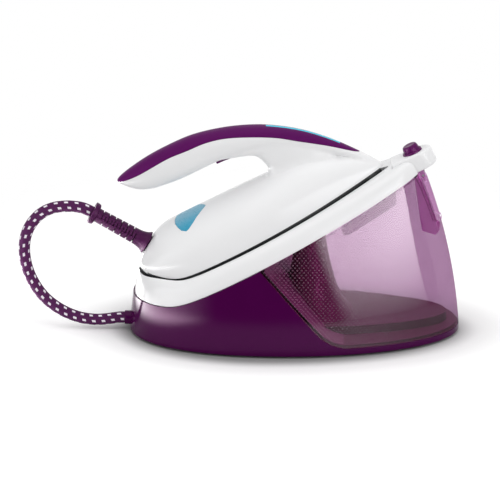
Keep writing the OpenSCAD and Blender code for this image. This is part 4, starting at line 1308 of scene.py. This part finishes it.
@dataclass
class BaseUnit:
    """Housing, tank, platform tray and lock tower."""

    dresser: Dresser
    iron: Iron
    foot_h: float = 2.0
    edge_r: float = 1.8
    wall: float = 2.5
    rim_h: float = 9.0
    seam_x: float = -30.0
    seam_z: float = 92.0
    seam_angle: float = math.radians(48)
    seam_r: float = 50.0
    gap: float = 0.4
    fit: float = 0.3
    step: float = 1.5
    skin_t: float = 0.3
    pillar_top: float = -5.8
    ground_h: float = 13.0
    plinth_h: float = 9.4
    plinth_inset: float = 13.0
    plinth_share: float = 0.72
    door_half_w: float = 17.0
    door_low: float = 128.0
    door_high: float = 176.0
    door_t: float = 4.0
    hinge_x: float = 142.6
    hinge_z: float = 177.5
    rib_from: float = 56.0
    rib_to: float = 113.0
    rib_h: float = 12.5
    rib_corner: float = 7.0
    tower_r: float = 15.0
    tower_rear: float = 290.0
    tower_front: float = 321.0
    tower_top: float = 15.6
    knob_x: float = 316.0
    valve: Point = (52.0, 30.0)
    power: Point = (-60.0, 30.0)
    power_r: float = 11.0
    power_set: float = 0.97
    valve_r: float = 5.2
    hose_exit: Point = (-8.0, 13.0)
    mains_exit: Point = (40.0, 18.0)

    def build(self) -> None:
        """Makes the base's pieces."""
        self.housing()
        self.tank()
        self.inside()
        self.tray()
        self.tower()
        self.door()
        self.small_parts()

    def seam(self, off: float) -> Piece:
        """Makes the room in front of the slanted seam.

        Args:
            off: How far the seam is moved forwards.

        Returns:
            The room, as a prism.
        """
        angle = self.seam_angle
        along = np.array([math.cos(angle), -math.sin(angle)])
        low, r = self.rim_h + off, self.seam_r - off
        start = np.array([self.seam_x, self.seam_z]) + off * np.array([math.sin(angle), math.cos(angle)])
        corner = start + along * (start[1] - low) / math.sin(angle)
        centre = np.array([corner[0] + r * math.tan(angle / 2), low + r])
        turns = np.linspace(1.5 * math.pi - angle, 1.5 * math.pi, 17)
        bend = centre + r * np.column_stack([np.cos(turns), np.sin(turns)])
        return prism("seam", np.vstack([[start - along * 200], bend, [[260, low], [260, 500]]]), 150)

    def pillar(self, grow: float, low: float = 0.0) -> Piece:
        """Makes the pillar's form.

        Args:
            grow: How much it is grown on all sides.
            low: Height of its foot.

        Returns:
            The form.
        """
        z = np.concatenate([np.linspace(9, 40, 14), np.linspace(44, 150, 18)])
        rear, front, half = (curve_at(PILLAR_ROWS[:, [0, k]], z)[:, None] for k in (1, 2, 3))
        turn = FULL_TURN * np.arange(96) / 96
        x = (rear + front) / 2 + ((front - rear) / 2 + grow) * np.cos(turn)
        rings = np.stack([x, (half + grow) * np.sin(turn), np.broadcast_to(z[:, None], x.shape)], axis=-1)
        if low < z[0]:
            rings = np.concatenate([rings[:1] + [0, 0, low - z[0]], rings])
        return loft("pillar", rings)

    def room(self, name: str, drop: float, inset: float) -> Piece:
        """Makes the space inside the base's wall, up to a drop below the white band."""
        return loft(name, EGG.walls(self.rim_h / 2, drop, inset))

    def housing(self) -> None:
        """Makes the rear housing with its rim under the tank."""
        foot, r = self.foot_h, self.edge_r
        low = [EGG.ring(foot + r * (1 - math.cos(q)), r * (1 - math.sin(q))) for q in np.radians([0, 30, 60])]
        outer = loft("housing", np.concatenate([low, EGG.walls(foot + r, self.fit, 0)]))
        inner = loft("housing_room", EGG.walls(-1, -2, self.wall))
        combine(inner, Join.CUT, self.seam(-self.wall))
        x, z = self.power
        holes = (
            ((x, 60, z), (x, 110, z), self.power_r + self.fit, 96),
            ((-190, *self.hose_exit), (-150, *self.hose_exit), 7.8),
            ((-185, *self.mains_exit), (-135, *self.mains_exit), 8.2),
            ((15, *self.valve), (40, *self.valve), self.valve_r, 48),
        )
        combine(outer, Join.CUT, inner, self.seam(0), *(rod("hole", *hole) for hole in holes))
        self.dresser.dress(outer, PLUM, Body.BASE, "plum_plastic", "base_housing")

    def tank(self) -> None:
        """Makes the clear tank, the cup behind its door and the ribs under the platform."""
        wall, gap = self.wall, self.gap
        room = self.room("tank_room", self.fit + wall, wall)
        combine(room, Join.KEEP, self.seam(gap + wall))
        combine(room, Join.CUT, self.pillar(gap + wall))
        outer = self.room("tank", self.fit, 0)
        combine(outer, Join.KEEP, self.seam(gap))
        valve = rod("valve", (19, *self.valve), (36, *self.valve), self.valve_r, 48)
        combine(outer, Join.CUT, room, self.pillar(gap), self.door_room(), valve)
        self.fill_cup()
        self.dresser.dress(outer, CLEAR, Body.BASE, "clear_tinted", "water_tank")
        for side in (-1, 1):
            self.dresser.dress(self.rib(side), CLEAR_RIB, Body.BASE, "clear_tinted")

    def fill_cup(self) -> None:
        """Makes the cup behind the filler door, with the hole at its foot that lets water into the tank."""
        side = [(130, 200), (134, 171), (143, 117), (157, 112.5), (172, 128), (180, 200)]
        inside = [(132.5, 200), (136.5, 171.4), (145.2, 118.9), (156.3, 115.4), (169.4, 128.9), (177.5, 200)]
        cup, hollow = prism("fill_cup", side, 15.5), prism("cup_room", inside, 13)
        combine(cup, Join.KEEP, self.room("limit", self.wall + 0.4, self.wall + 0.1))
        combine(hollow, Join.KEEP, self.room("limit", self.wall + 1.6, self.wall))
        mouth = box("mouth", (145, -10.5, 131), (192, 10.5, 173))
        combine(cup, Join.CUT, hollow, self.door_room(), mouth, box("fill", (134, -6, 120.5), (148, 6, 127.5)))
        self.dresser.dress(cup, CUP, Body.BASE, "clear_tinted")

    def rib(self, side: int) -> Piece:
        """Makes the strip that stiffens the tank's wall under the platform.

        Args:
            side: -1 for the near side, 1 for the far side.

        Returns:
            The strip.
        """
        faces, corner = [], self.rib_corner
        for inset in (self.wall + 0.4, self.wall + 1.4):
            rows = []
            for drop in np.linspace(0.9, self.rib_h, 9):
                cut = max(0.0, corner - (self.rib_h - drop))
                x = np.linspace(self.rib_from + corner - math.sqrt(corner**2 - cut**2), self.rib_to, 30)
                ring = EGG.on_band(0.0, inset, drop)[: EGG.sides // 2 + 1]
                ring = ring[np.argsort(ring[:, 0])]
                y, z = (np.interp(x, ring[:, 0], ring[:, k]) for k in (1, 2))
                rows.append(np.column_stack([x, side * y, z]))
            faces.append(np.asarray(rows))
        return slab_between(f"tank_rib_{(side + 1) // 2}", *faces)

    def inside(self) -> None:
        """Makes the dark pillar that carries the platform, and the coloured inner faces of the tank, with painted
        light on the upper wall's skin and painted shade on the floor step's sides.
        """
        inner, t = self.gap + self.wall + 0.1, self.skin_t
        column = combine(self.pillar(0, self.rim_h), Join.KEEP, self.seam(0))
        combine(column, Join.CUT, PLATFORM.above(self.pillar_top))
        skin = combine(self.seam(inner), Join.CUT, self.seam(inner + t), self.pillar(inner))
        combine(skin, Join.KEEP, self.room("skin_limit", self.wall + 1.0, self.wall + 0.1))
        ground = copy_of(skin, "ground_skin")
        for piece, how in ((ground, Join.KEEP), (skin, Join.CUT)):
            combine(piece, how, box("low", (-FAR, -FAR, 0), (FAR, FAR, self.ground_h)))
        sleeve = combine(self.pillar(inner + t), Join.CUT, self.pillar(inner))
        combine(sleeve, Join.KEEP, self.seam(inner), self.room("skin_limit", self.wall + 1.0, self.wall + 0.1))
        backing = combine(self.seam(0.06), Join.CUT, self.seam(t), self.pillar(0, self.rim_h))
        combine(backing, Join.KEEP, loft("skin_limit", EGG.walls(8.0, 1.0, 1.2)))
        floor = self.rim_h + inner + t
        top = floor + self.plinth_h
        # The step's body takes a darker finish than its thin top plate: painted shade on its sides.
        step, plate = (self.plinth(low, high, inner + t) for low, high in ((floor + 0.1, top), (top, top + 0.4)))
        # The wall's skin takes a lighter copy of the pillar's plum: painted light where the tank's upper corner lies
        # in shade.
        for piece, name, finish, *replaced in (
            (column, "pillar", PLUM_DEEP, "center_pillar"), (skin, "seam_skin", PLUM_WALL_LIT),
            (ground, "ground_skin", PLUM_DEEP), (sleeve, "pillar_sleeve", PLUM_DEEP),
            (backing, "seam_backing", PLUM_DEEP), (step, "floor_step", PLUM_STEP_SHADE), (plate, "floor_plate", PLUM_DEEP),
        ):
            piece.name = name
            self.dresser.dress(piece, finish, Body.BASE, "plum_plastic", *replaced)

    def plinth(self, low: float, high: float, off: float) -> Piece:
        """Makes a layer of the raised part of the tank's floor.

        Args:
            low: Height of its underside.
            high: Its top.
            off: Distance from the seam and the pillar.

        Returns:
            The layer.
        """
        layer = loft("plinth", EGG.rings(low, high, self.plinth_inset, 2) * [1, self.plinth_share, 1])
        combine(layer, Join.KEEP, self.seam(off))
        return combine(layer, Join.CUT, self.pillar(off))

    def hinge_rod(self, name: str, half: float, radius: float, sides: int = 48) -> Piece:
        """Makes a rod on the filler door's hinge line, by its half length and radius."""
        return rod(name, (self.hinge_x, -half, self.hinge_z), (self.hinge_x, half, self.hinge_z), radius, sides)

    def door_room(self) -> Piece:
        """Makes the room that the filler door takes.

        Returns:
            The room.
        """
        half = self.door_half_w + self.gap
        shell = loft("door_room", EGG.rings(118, 192, -10))
        combine(shell, Join.CUT, loft("core", EGG.rings(108, 200, self.door_t + self.gap, 24)))
        combine(shell, Join.KEEP, box("limit", (100, -half, self.door_low - self.gap), (FAR, half, 240)))
        return combine(shell, Join.ADD, self.hinge_rod("swing", half, 6.1))

    def door(self) -> None:
        """Makes the filler door with its finger lip and hinge barrel."""
        half, low = self.door_half_w, self.door_low
        shell, lip = (loft(name, EGG.rings(118, 192, inset)) for name, inset in (("filler_flap", 0), ("lip", -1.4)))
        combine(lip, Join.KEEP, box("lip_limit", (100, -9, low), (FAR, 9, low + 3)))
        combine(shell, Join.KEEP, box("limit", (100, -half, low), (FAR, half, self.door_high)))
        combine(shell, Join.ADD, lip)
        combine(shell, Join.CUT, loft("core", EGG.rings(108, 200, self.door_t, 24)))
        combine(shell, Join.ADD, self.hinge_rod("barrel", 8, 2.5))
        for ear in (-9.8, 9.8):
            combine(shell, Join.CUT, box("notch", (100, ear - 1.8, 170.5), (200, ear + 1.8, 190)))
        combine(shell, Join.CUT, self.hinge_rod("bore", 30, 1.25, 32))
        self.dresser.dress(shell, CLEAR_DOOR, Body.DOOR, "clear_tinted", "filler_door")

    def tray(self) -> None:
        """Makes the white tray with its rounded shoulder and the recess for the iron."""
        shoulder = [
            (0, 0), (0.3, 0), (0.55, 0.1), (0.7, 0.5), (0.8, 1.2), (0.88, 2.3), (0.94, 3.7), (0.98, 5.3), (1, 7),
        ]
        shares = np.concatenate([np.linspace(0, 0.5, 5), np.linspace(0.56, 1, 16)])
        insets = curve_at(shoulder, shares) + self.step
        rings = np.stack([EGG.on_band(share, inset) for share, inset in zip(shares, insets)])
        tray = loft("tray", rings)
        top, inner = 1 - self.wall / (PLATFORM.rim_rise + PLATFORM.band_drop), self.wall + self.step
        hollow = [EGG.on_band(*ring) for ring in ((-0.2, inner), (0.45, inner), (top, inner + 2))]
        combine(tray, Join.CUT, loft("hollow", hollow))
        cup = loft("cup", np.concatenate([EGG.ring(24, self.wall + 1)[None], rings]))
        combine(cup, Join.KEEP, self.iron.slab(5.0, -5.5, 200))
        combine(tray, Join.ADD, cup)
        combine(tray, Join.CUT, self.iron.slab(2.5, -3.0, 220), self.stadium(0.2, -11, 220), self.hook_slot())
        self.dresser.dress(tray, WHITE, Body.BASE, "white_plastic", "platform_tray")

    def stadium(self, grow: float, low: float, high: float) -> Piece:
        """Makes the lock tower's block, square at the rear and round at the front.

        Args:
            grow: How much it is grown.
            low: Its lowest height in the platform frame.
            high: Its top.

        Returns:
            The block.
        """
        r, rear = self.tower_r + grow, self.tower_rear - grow
        turns = np.linspace(-math.pi / 2, math.pi / 2, 49)
        front = np.column_stack([self.tower_front + r * np.cos(turns), r * np.sin(turns)])
        return platform_prism("tower_block", np.vstack([front, [[rear, r], [rear, -r]]]), low, high)

    def hook_slot(self) -> Piece:
        """Makes the room that the lock hook slides in."""
        room = self.fit
        return PLATFORM.place(box("hook_room", (270, -2.4 - room, 5.6 - room), (293.2, 2.4 + room, 8.8 + room)))

    def tower(self) -> None:
        """Makes the lock tower, its button, collar and hook."""
        block = self.stadium(0, -5.1, self.tower_top)
        block.name = "lock_tower_cover"
        slope = [(289, self.tower_top), (337, 13.0), (337, 40), (289, 40)]
        combine(block, Join.CUT, PLATFORM.place(prism("slope", slope, 30)))
        round_edges(block, 2.6, 5, 50)
        bore = PLATFORM.place(rod("bore", (self.knob_x, 0, 0), (self.knob_x, 0, 60), 10.8, 96))
        combine(block, Join.CUT, self.stadium(-2.2, -9, 9.3), bore, self.hook_slot())
        self.dresser.dress(block, WHITE, Body.BASE, "white_plastic", "lock_tower")
        cap = (
            (0, 4), (8.4, 4), (8.9, 4.6), (8.9, 16.2), (8.8, 17.6), (8.5, 19.6), (8.1, 21.3), (7.5, 22.4),
            (6.6, 22.9), (5.6, 23.0), (4.8, 22.8), (0, 22.7),
        )
        ring = ((9.2, 9.5), (10.6, 9.5), (10.6, 15.2), (10.5, 15.8), (10.0, 16.3), (9.5, 16.5), (9.2, 16.4))
        root = PLATFORM.to_part(np.array([self.knob_x, 0, 0]))
        for name, outline, body, node in (
            ("lock_knob", cap, Body.LOCK_BUTTON, "lock_button"), ("knob_collar", ring, Body.BASE, "lock_collar"),
        ):
            piece = spun(name, outline, root, PLATFORM.normal(), 128)
            self.dresser.dress(piece, PURPLE, body, "purple_plastic", node, angle=40)
        hook = self.dresser.copy("lock_hook", "carry_hook", 0.5)
        self.dresser.dress(hook, GREY, Body.LOCK_HOOK, "grey_plastic", "lock_hook")

    def small_parts(self) -> None:
        """Makes the feet, the power button, the glands and the pads."""
        sole = ((0, 0), (7.2, 0), (7.9, 0.3), (8.3, 1.0), (9.0, 2.0), (0, 2.0))
        for spot, (x, y) in enumerate(((-120.5, -52), (-120.5, 52), (114, -46), (114, 46))):
            foot = spun(f"foot_{spot}", sole, (x, y, 0), (0, 0, 1), 64)
            replaced = ("rubber_feet",) if spot == 0 else ()
            self.dresser.dress(foot, RUBBER, Body.BASE, "black_rubber", *replaced, angle=32)
        x, z = self.power
        y = (EGG.half_w - EGG.lean * z - EGG.crown * z * z) * self.power_set
        r = self.power_r
        push = ((0, -8), (r, -8), (r, 2.2), (10.6, 3.4), (9.6, 4.0), (8.4, 3.9), (7.6, 3.5), (0, 3.3))
        button = spun("power_push", push, (x, y, z), (0, 1, 0))
        self.dresser.dress(button, WHITE, Body.POWER, "white_plastic", "power_button", angle=32)
        for name, node, finish, slot in (
            ("hose_gland_ring", "hose_gland", PLUM, "dark_plastic"),
            ("mains_gland_ring", "mains_gland", BLACK, "dark_plastic"),
            ("silicone_pads", "rest_pads", RUBBER, "black_rubber"),
        ):
            self.dresser.dress(self.dresser.copy(node, name, 0.8), finish, Body.BASE, slot, node, angle=32)


@dataclass
class Iron:
    """The iron: shell with its handle, grip, button, trigger, skirt and soleplate. Sizes are in the platform frame."""

    dresser: Dresser
    half_w: float = 59.0
    heel_end: float = -2.0
    wide_x: float = 100.0
    nose_x: float = 284.0
    heel_round: float = 2.6
    dome_round: float = 2.6
    spine_h: float = 60.2
    rear_slope: float = 48.0
    beak_x: float = 190.0
    beak_rise: float = 3.0
    under_z: float = 98.5
    top_z: float = 138.5
    tail_x: float = 19.0
    post_x: float = 171.5
    handle_half_w: float = 18.0
    handle_round: float = 2.3
    edge_rise: float = 14.0
    edge_level: float = 69.1
    edge_lean: float = 0.0159
    edge_fall: float = 0.685
    strip_x: Point = (190.0, 252.0)
    strip_half_w: float = 2.6
    strip_gap: float = 0.15
    wall: float = 2.5
    voxel: float = 1.25
    soften: int = 14

    def width(self, x: np.ndarray) -> np.ndarray:
        """Half width of the lower edge.

        Args:
            x: Places along the iron.

        Returns:
            The half widths there.
        """
        behind = np.clip((self.wide_x - x) / (self.wide_x - self.heel_end), 0, 1)
        heel = np.clip(1 - behind**self.heel_round, 0, 1)
        nose = np.clip(1 - ((x - self.wide_x) / (self.nose_x - self.wide_x)) ** 2, 0, 1)
        return self.half_w * np.where(x < self.wide_x, heel ** (1 / self.heel_round), nose)

    def edge(self, x: np.ndarray) -> np.ndarray:
        """Height of the shell's lower edge along the iron."""
        heel = (self.edge_level - PLATFORM.heel_z) / math.cos(PLATFORM.tilt) + 5.9 - self.edge_fall * x
        return PLATFORM.smooth_max(self.edge_rise + self.edge_lean * (x - self.nose_x + 54), heel)

    def spine(self, x: np.ndarray) -> np.ndarray:
        """Height of the dome's ridge.

        Args:
            x: Places along the iron.

        Returns:
            The heights there.
        """
        fall = self.spine_h - float(self.edge(np.array([self.heel_end]))[0]) - 0.8
        rear = np.clip(1 - (x - self.heel_end) / self.rear_slope, 0, 1) ** 1.75
        beak = (np.clip(x - self.beak_x, 0, None) / (self.nose_x - self.beak_x)) ** 2
        return self.spine_h - fall * rear - (self.spine_h - self.edge_rise - self.beak_rise) * beak

    def stations(self, start: float, end: float, count: int = 90) -> np.ndarray:
        """Places along the iron, closer together at both ends."""
        return start + (end - start) * (1 - np.cos(np.pi * np.arange(count + 1) / count)) / 2

    def body(self, name: str, x: np.ndarray, half: np.ndarray, across: np.ndarray, height: np.ndarray) -> Piece:
        """Makes a solid through upright rings, by their places, half widths, shares across and heights."""
        rings = np.stack([np.broadcast_to(x[:, None], height.shape), -half[:, None] * across, height], axis=-1)
        return loft(name, PLATFORM.to_part(rings))

    def above(self, name: str, line: np.ndarray, half_w: float) -> Piece:
        """Makes the room above a side-view line, as a prism of some half width."""
        roof = [[line[-1, 0], FAR], [line[0, 0], FAR]]
        return PLATFORM.place(prism(name, np.vstack([line, roof]), half_w))

    def slab(self, grow: float, low: float, high: float) -> Piece:
        """Makes an upright slab of the iron's outline.

        Args:
            grow: How much the outline is grown.
            low: Lowest height.
            high: Top.

        Returns:
            The slab.
        """
        x = self.stations(self.heel_end, self.nose_x)
        near = np.column_stack([x, -self.width(x)])
        return platform_prism("slab", grown(np.vstack([near, (near * [1, -1])[-2:0:-1]]), grow), low, high)

    def dome(self, inset: float = 0.0, skirt: float = 7.0) -> Piece:
        """Makes the shell's dome.

        Args:
            inset: Distance inside the surface.
            skirt: How far it reaches below the lower edge.

        Returns:
            The dome, closed at the bottom.
        """
        x = self.stations(self.heel_end + 0.3 + inset, self.nose_x - 1.6 - 2 * inset, 110)
        half, low = np.maximum(self.width(x) - inset, 0.4), self.edge(x)
        top = np.maximum(self.spine(x) - inset, low + 0.4)
        arc = np.linspace(0, math.pi / 2, 29)
        y = np.concatenate([np.sin(arc) ** (2 / self.dome_round), [1.0, 1.0, 0.66, 0.33]])
        z = np.concatenate([np.cos(arc) ** (2 / self.dome_round), [-0.5, -1.0, -1.0, -1.0]])
        y, z = np.concatenate([y, [0.0], -y[:0:-1]]), np.concatenate([z, [-1.0], z[:0:-1]])
        height = low[:, None] + np.where(z >= 0, (top - low)[:, None] * z, skirt * z)
        return self.body("dome", x, half, y, height)

    def handle(self, inset: float = 0.0) -> Piece:
        """Makes the handle, which runs down to the nose.

        Args:
            inset: Distance inside the surface.

        Returns:
            The handle's form.
        """
        top, under, nose, tail, post, edge = (
            self.top_z, self.under_z, self.nose_x, self.tail_x, self.post_x, self.edge_rise
        )
        upper = [
            (tail, top - 10.3), (tail + 5, top - 8.2), (tail + 16, top - 5.4), (tail + 41, top - 1.8),
            (tail + 65, top - 0.8), (nose - 171, top - 2), (nose - 143, top - 8), (nose - 118, top - 16.5),
            (nose - 93, top - 28.5), (nose - 63, top - 49), (nose - 39, top - 72), (nose - 16, edge + 24.5),
            (nose - 2, edge + 5),
        ]
        lower = [
            (tail, top - 11.3), (tail + 7, under + 20), (tail + 17, under + 10.8), (tail + 30, under + 5),
            (tail + 44, under + 2.5), (tail + 66, under + 0.5), (tail + 106, under + 0.4), (post - 31, under - 1.5),
            (post - 8, under - 6), (post + 20, under - 15), (nose - 63, under - 33), (nose - 39, under - 51),
            (nose - 16, edge + 13), (nose - 2, edge + 0.2),
        ]
        width = [
            (tail, 0.1), (tail + 5, 0.42), (tail + 16, 0.68), (tail + 41, 0.9), (tail + 81, 1), (post - 21, 0.96),
            (post + 20, 0.86), (nose - 54, 0.66), (nose - 22, 0.4), (nose - 2, 0.1),
        ]
        margin = 2.5 * inset
        x = self.stations(tail + 0.3 + margin, nose - 2 - 2 * margin)
        high = curve_at(upper, x) - inset
        low = np.minimum(curve_at(lower, x) + inset, high - 0.4)
        half = np.maximum(self.handle_half_w * curve_at(width, x) - inset, 0.3)
        turn = FULL_TURN * np.arange(72) / 72
        up, across = (signed_power(v, 2 / self.handle_round) for v in (np.cos(turn), np.sin(turn)))
        across[np.abs(across) < 1e-6] = 0
        height = ((high + low) / 2)[:, None] + ((high - low) / 2)[:, None] * up
        return self.body("handle", x, half, across, height)

    def post(self, inset: float = 0.0) -> Piece:
        """Makes the post between the spine and the handle.

        Args:
            inset: Distance inside the surface.

        Returns:
            The post's form.
        """
        spine, under, post, nose = self.spine_h, self.under_z, self.post_x, self.nose_x
        rows = np.array([
            (spine - 20, post - 22, nose - 42, 15), (spine - 8, post - 19.5, nose - 40, 17),
            (spine - 3, post - 12.5, nose - 42, 15.5), (spine + 1, post - 6, nose - 44, 14.4),
            (spine + 5, post - 1.7, nose - 44, 13.8), (spine + 10, post, nose - 48, 13.5),
            (spine + 17, post - 1.9, nose - 56, 13.5), (under - 14, post - 4.9, nose - 62, 13.6),
            (under - 10.5, post - 8.5, nose - 67, 13.8), (under - 6.3, post - 18, nose - 76, 14),
            (under - 2.5, post - 30.5, nose - 81, 13.5), (under + 1.5, post - 45, nose - 88, 12),
        ])
        z = np.linspace(rows[0, 0], rows[-1, 0], 44)
        rear, front, half = (curve_at(rows[:, [0, k]], z)[:, None] for k in (1, 2, 3))
        turn = FULL_TURN * np.arange(72) / 72
        power = np.where(np.cos(turn) > 0, 2 / 2.1, 2 / 3)
        along, across = signed_power(np.cos(turn), power), signed_power(np.sin(turn), power)
        across[np.abs(across) < 1e-6] = 0
        x = (rear + front) / 2 + ((front - rear) / 2 - inset) * along
        rings = np.stack([x, (half - inset) * across, np.broadcast_to(z[:, None], x.shape)], axis=-1)
        return loft("post", PLATFORM.to_part(rings))

    def grip_room(self, lift: float = 0.0) -> Piece:
        """Makes the room above the line where the grip meets the shell.

        Args:
            lift: How far the line is raised.

        Returns:
            The room, as a prism.
        """
        top, nose, tail, edge = self.top_z, self.nose_x, self.tail_x, self.edge_rise
        line = [
            (tail - 5, top - 11.2), (tail + 5, top - 12.6), (tail + 24, top - 13.4), (tail + 63, top - 10.6),
            (tail + 85, top - 11.8), (nose - 158, top - 13.2), (nose - 137, top - 18.2), (nose - 112, top - 29),
            (nose - 88, top - 42.3), (nose - 71, top - 55), (nose - 43, edge + 48.3), (nose - 16, edge + 25),
            (nose - 4, edge + 18),
        ]
        x = np.linspace(line[0][0], line[-1][0], 140)
        return self.above("grip_room", np.column_stack([x, curve_at(line, x) + lift]), 60)

    def button_room(self, grow: float = 0.0) -> Piece:
        """Makes the column that the press button on the spine takes.

        Args:
            grow: How much it is grown.

        Returns:
            The column.
        """
        near = [
            (54.5, 0), (55.7, -14), (58.5, -25), (62, -33), (67, -37), (70, -36), (76, -30), (84, -17), (89, -7),
            (91, -2.5), (91.5, 0),
        ]
        flat = np.array(near + [(x, -y) for x, y in near[-2:0:-1]], float)
        return platform_prism("button_room", grown(flat, grow), 24, 80)

    def strip_room(self, gap: float) -> Piece:
        """Makes the column that the indicator's lens takes, with a gap round it."""
        (start, end), half = self.strip_x, self.strip_half_w + gap
        return PLATFORM.place(box("strip_room", (start - gap, -half, 14), (end + gap, half, 140)))

    def form(self) -> Piece:
        """Makes dome, handle and post as one smooth form.

        Returns:
            The form.
        """
        body = combine(self.dome(), Join.ADD, self.handle(), self.post())
        remesh = body.modifiers.new("Blend", "REMESH")
        remesh.mode = "VOXEL"
        remesh.voxel_size = self.voxel * MM
        soft = body.modifiers.new("Soften", "SMOOTH")
        soft.factor = 0.5
        soft.iterations = self.soften
        return apply_modifiers(body)

    def build(self) -> None:
        """Cuts the shell, the grip, the lens and the button out of one form, and makes what lies below."""
        button = self.form()
        button.name = "descale_push"
        shell, grip, strip = (copy_of(button, name) for name in ("shell_white", "grip_soft", "indicator_lens"))
        self.shell(shell)
        combine(grip, Join.KEEP, self.grip_room(self.strip_gap))
        channel = combine(self.strip_room(self.strip_gap), Join.CUT, self.handle(2.0))
        combine(grip, Join.CUT, self.handle(self.wall), channel)
        self.dresser.dress(grip, GRIP, Body.IRON, "purple_grip", "handle_grip", angle=40)
        combine(strip, Join.KEEP, self.strip_room(0.0), self.grip_room(self.strip_gap))
        combine(strip, Join.CUT, self.handle(1.9))
        self.dresser.dress(strip, CYAN, Body.IRON, "cyan_lens", "indicator_strip", angle=40)
        combine(button, Join.KEEP, self.button_room())
        combine(button, Join.CUT, self.dome(3.0, 12))
        self.dresser.dress(button, TEAL, Body.DESCALE, "teal_plastic", "descale_button", angle=40)
        self.skirt()
        self.sole()
        trigger = self.dresser.copy("steam_trigger", "steam_trigger_key", 0.7)
        self.dresser.dress(trigger, PURPLE, Body.TRIGGER, "purple_plastic", "steam_trigger")

    def shell(self, shell: Piece) -> None:
        """Cuts the white shell out of the form.

        Args:
            shell: A copy of the form.
        """
        x = np.linspace(-40, 320, 121)
        combine(shell, Join.KEEP, self.above("above_edge", np.column_stack([x, self.edge(x)]), 100))
        slot = PLATFORM.place(box("trigger_slot", (124.02, -6.3, 78), (155.3, 6.3, 108)))
        bore = rod("relief_bore", *SteamHose(self.dresser).on_axis(-14, 26), 8.9)
        combine(
            shell, Join.CUT, self.dome(self.wall, 12), self.handle(self.wall), self.post(self.wall),
            self.grip_room(), self.button_room(0.35), slot, bore,
        )
        self.dresser.dress(shell, WHITE, Body.IRON, "white_plastic", "iron_shell", angle=40)

    def skirt(self) -> None:
        """Makes the black skirt between the shell and the soleplate."""
        x = self.stations(self.heel_end + 2.5, self.nose_x - 6)
        half, high, low = np.maximum(self.width(x) - 1.5, 0.5), self.edge(x) - 0.2, 4.2
        y = np.array([0, 0.5, 0.97, 1, 1, 1, 0.97, 0.5, 0, -0.5, -0.97, -1, -1, -1, -0.97, -0.5])
        z = np.array([1, 1, 1, 0.95, 0.5, 0.05, 0, 0, 0, 0, 0, 0.05, 0.5, 0.95, 1, 1])
        skirt = self.body("heat_skirt", x, half, y, low + (high - low)[:, None] * z)
        slot = PLATFORM.place(box("nose_slot", (270, -3.0, 5.0), (293, 3.0, 9.4)))
        combine(skirt, Join.CUT, self.slab(-12.5, 0, 60), slot)
        self.dresser.dress(skirt, BLACK, Body.IRON, "dark_plastic", "heat_shield")

    def sole(self) -> None:
        """Makes the soleplate with two rows of steam holes along its edge and one in the middle."""
        sole = self.slab(-3.0, 0, 4)
        sole.name = "sole_plate"
        round_edges(sole, 0.8, 3, 60)
        x = 70.0 + 21 * np.arange(9)
        spots = [(a, side * b) for a, b in zip(x, self.width(x) - 12) for side in (-1, 1)]
        spots += [(130.0 + 22 * i, 0.0) for i in range(6)]
        for a, b in spots:
            combine(sole, Join.CUT, PLATFORM.place(rod("steam_hole", (a, b, -1), (a, b, 9), 1.5, 24)))
        self.dresser.dress(sole, SOLE, Body.IRON, "sole_steel", "soleplate")


def springs(dresser: Dresser) -> None:
    """Copies and dresses the two coil springs under the knob and over the trigger, each with a mesh of its own.

    Args:
        dresser: Dresser of the pieces.
    """
    for node, name, body, joint, travel, held_above in (
        ("lock_spring", "lock_coil", Body.BASE, "lock_button_press", 4.1, False),
        ("trigger_spring", "trigger_coil", Body.IRON, "steam_trigger_pull", 3.0, True),
    ):
        coil = dresser.dress(dresser.copy(node, name), STEEL, body, "spring_steel", node, angle=60)
        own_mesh(coil)


def keep_inner_parts(dresser: Dresser) -> None:
    """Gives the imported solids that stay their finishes.

    Args:
        dresser: Dresser of the pieces.
    """
    dresser.keep(PLUM, "base_plate")
    dresser.keep(STEEL, "base_screws", "door_pin", "cover_screws", "trigger_pin", "heating_element")
    dresser.keep(HINGE, "lock_plate")
    dresser.keep(BLACK, "tank_valve", "board_parts", "power_switch", "trigger_switch", "handle_carrier")
    dresser.keep(BLACK, "descale_switch")
    dresser.keep(PALE, "pump_body", "suction_tube", "delivery_tube", "thermostat", "board_posts", "water_tube")
    dresser.keep(COPPER, "pump_coil")
    dresser.keep(RUBBER, "pump_mounts")
    dresser.keep(BOARD, "control_board", "iron_board")
    dresser.keep(CAST, "steam_chamber", "chamber_cover")


def main() -> None:
    """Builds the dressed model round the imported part."""
    logging.basicConfig(level=logging.INFO, format="%(name)s: %(message)s")
    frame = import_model()
    dresser = Dresser(frame["nodes"])
    Studio().build()
    SteamHose(dresser).build()
    iron = Iron(dresser)
    BaseUnit(dresser, iron).build()
    iron.build()
    springs(dresser)
    keep_inner_parts(dresser)
    deselect()
    LOG.info("%d pieces made", len(dresser.made))


if __name__ == "__main__":
    main()
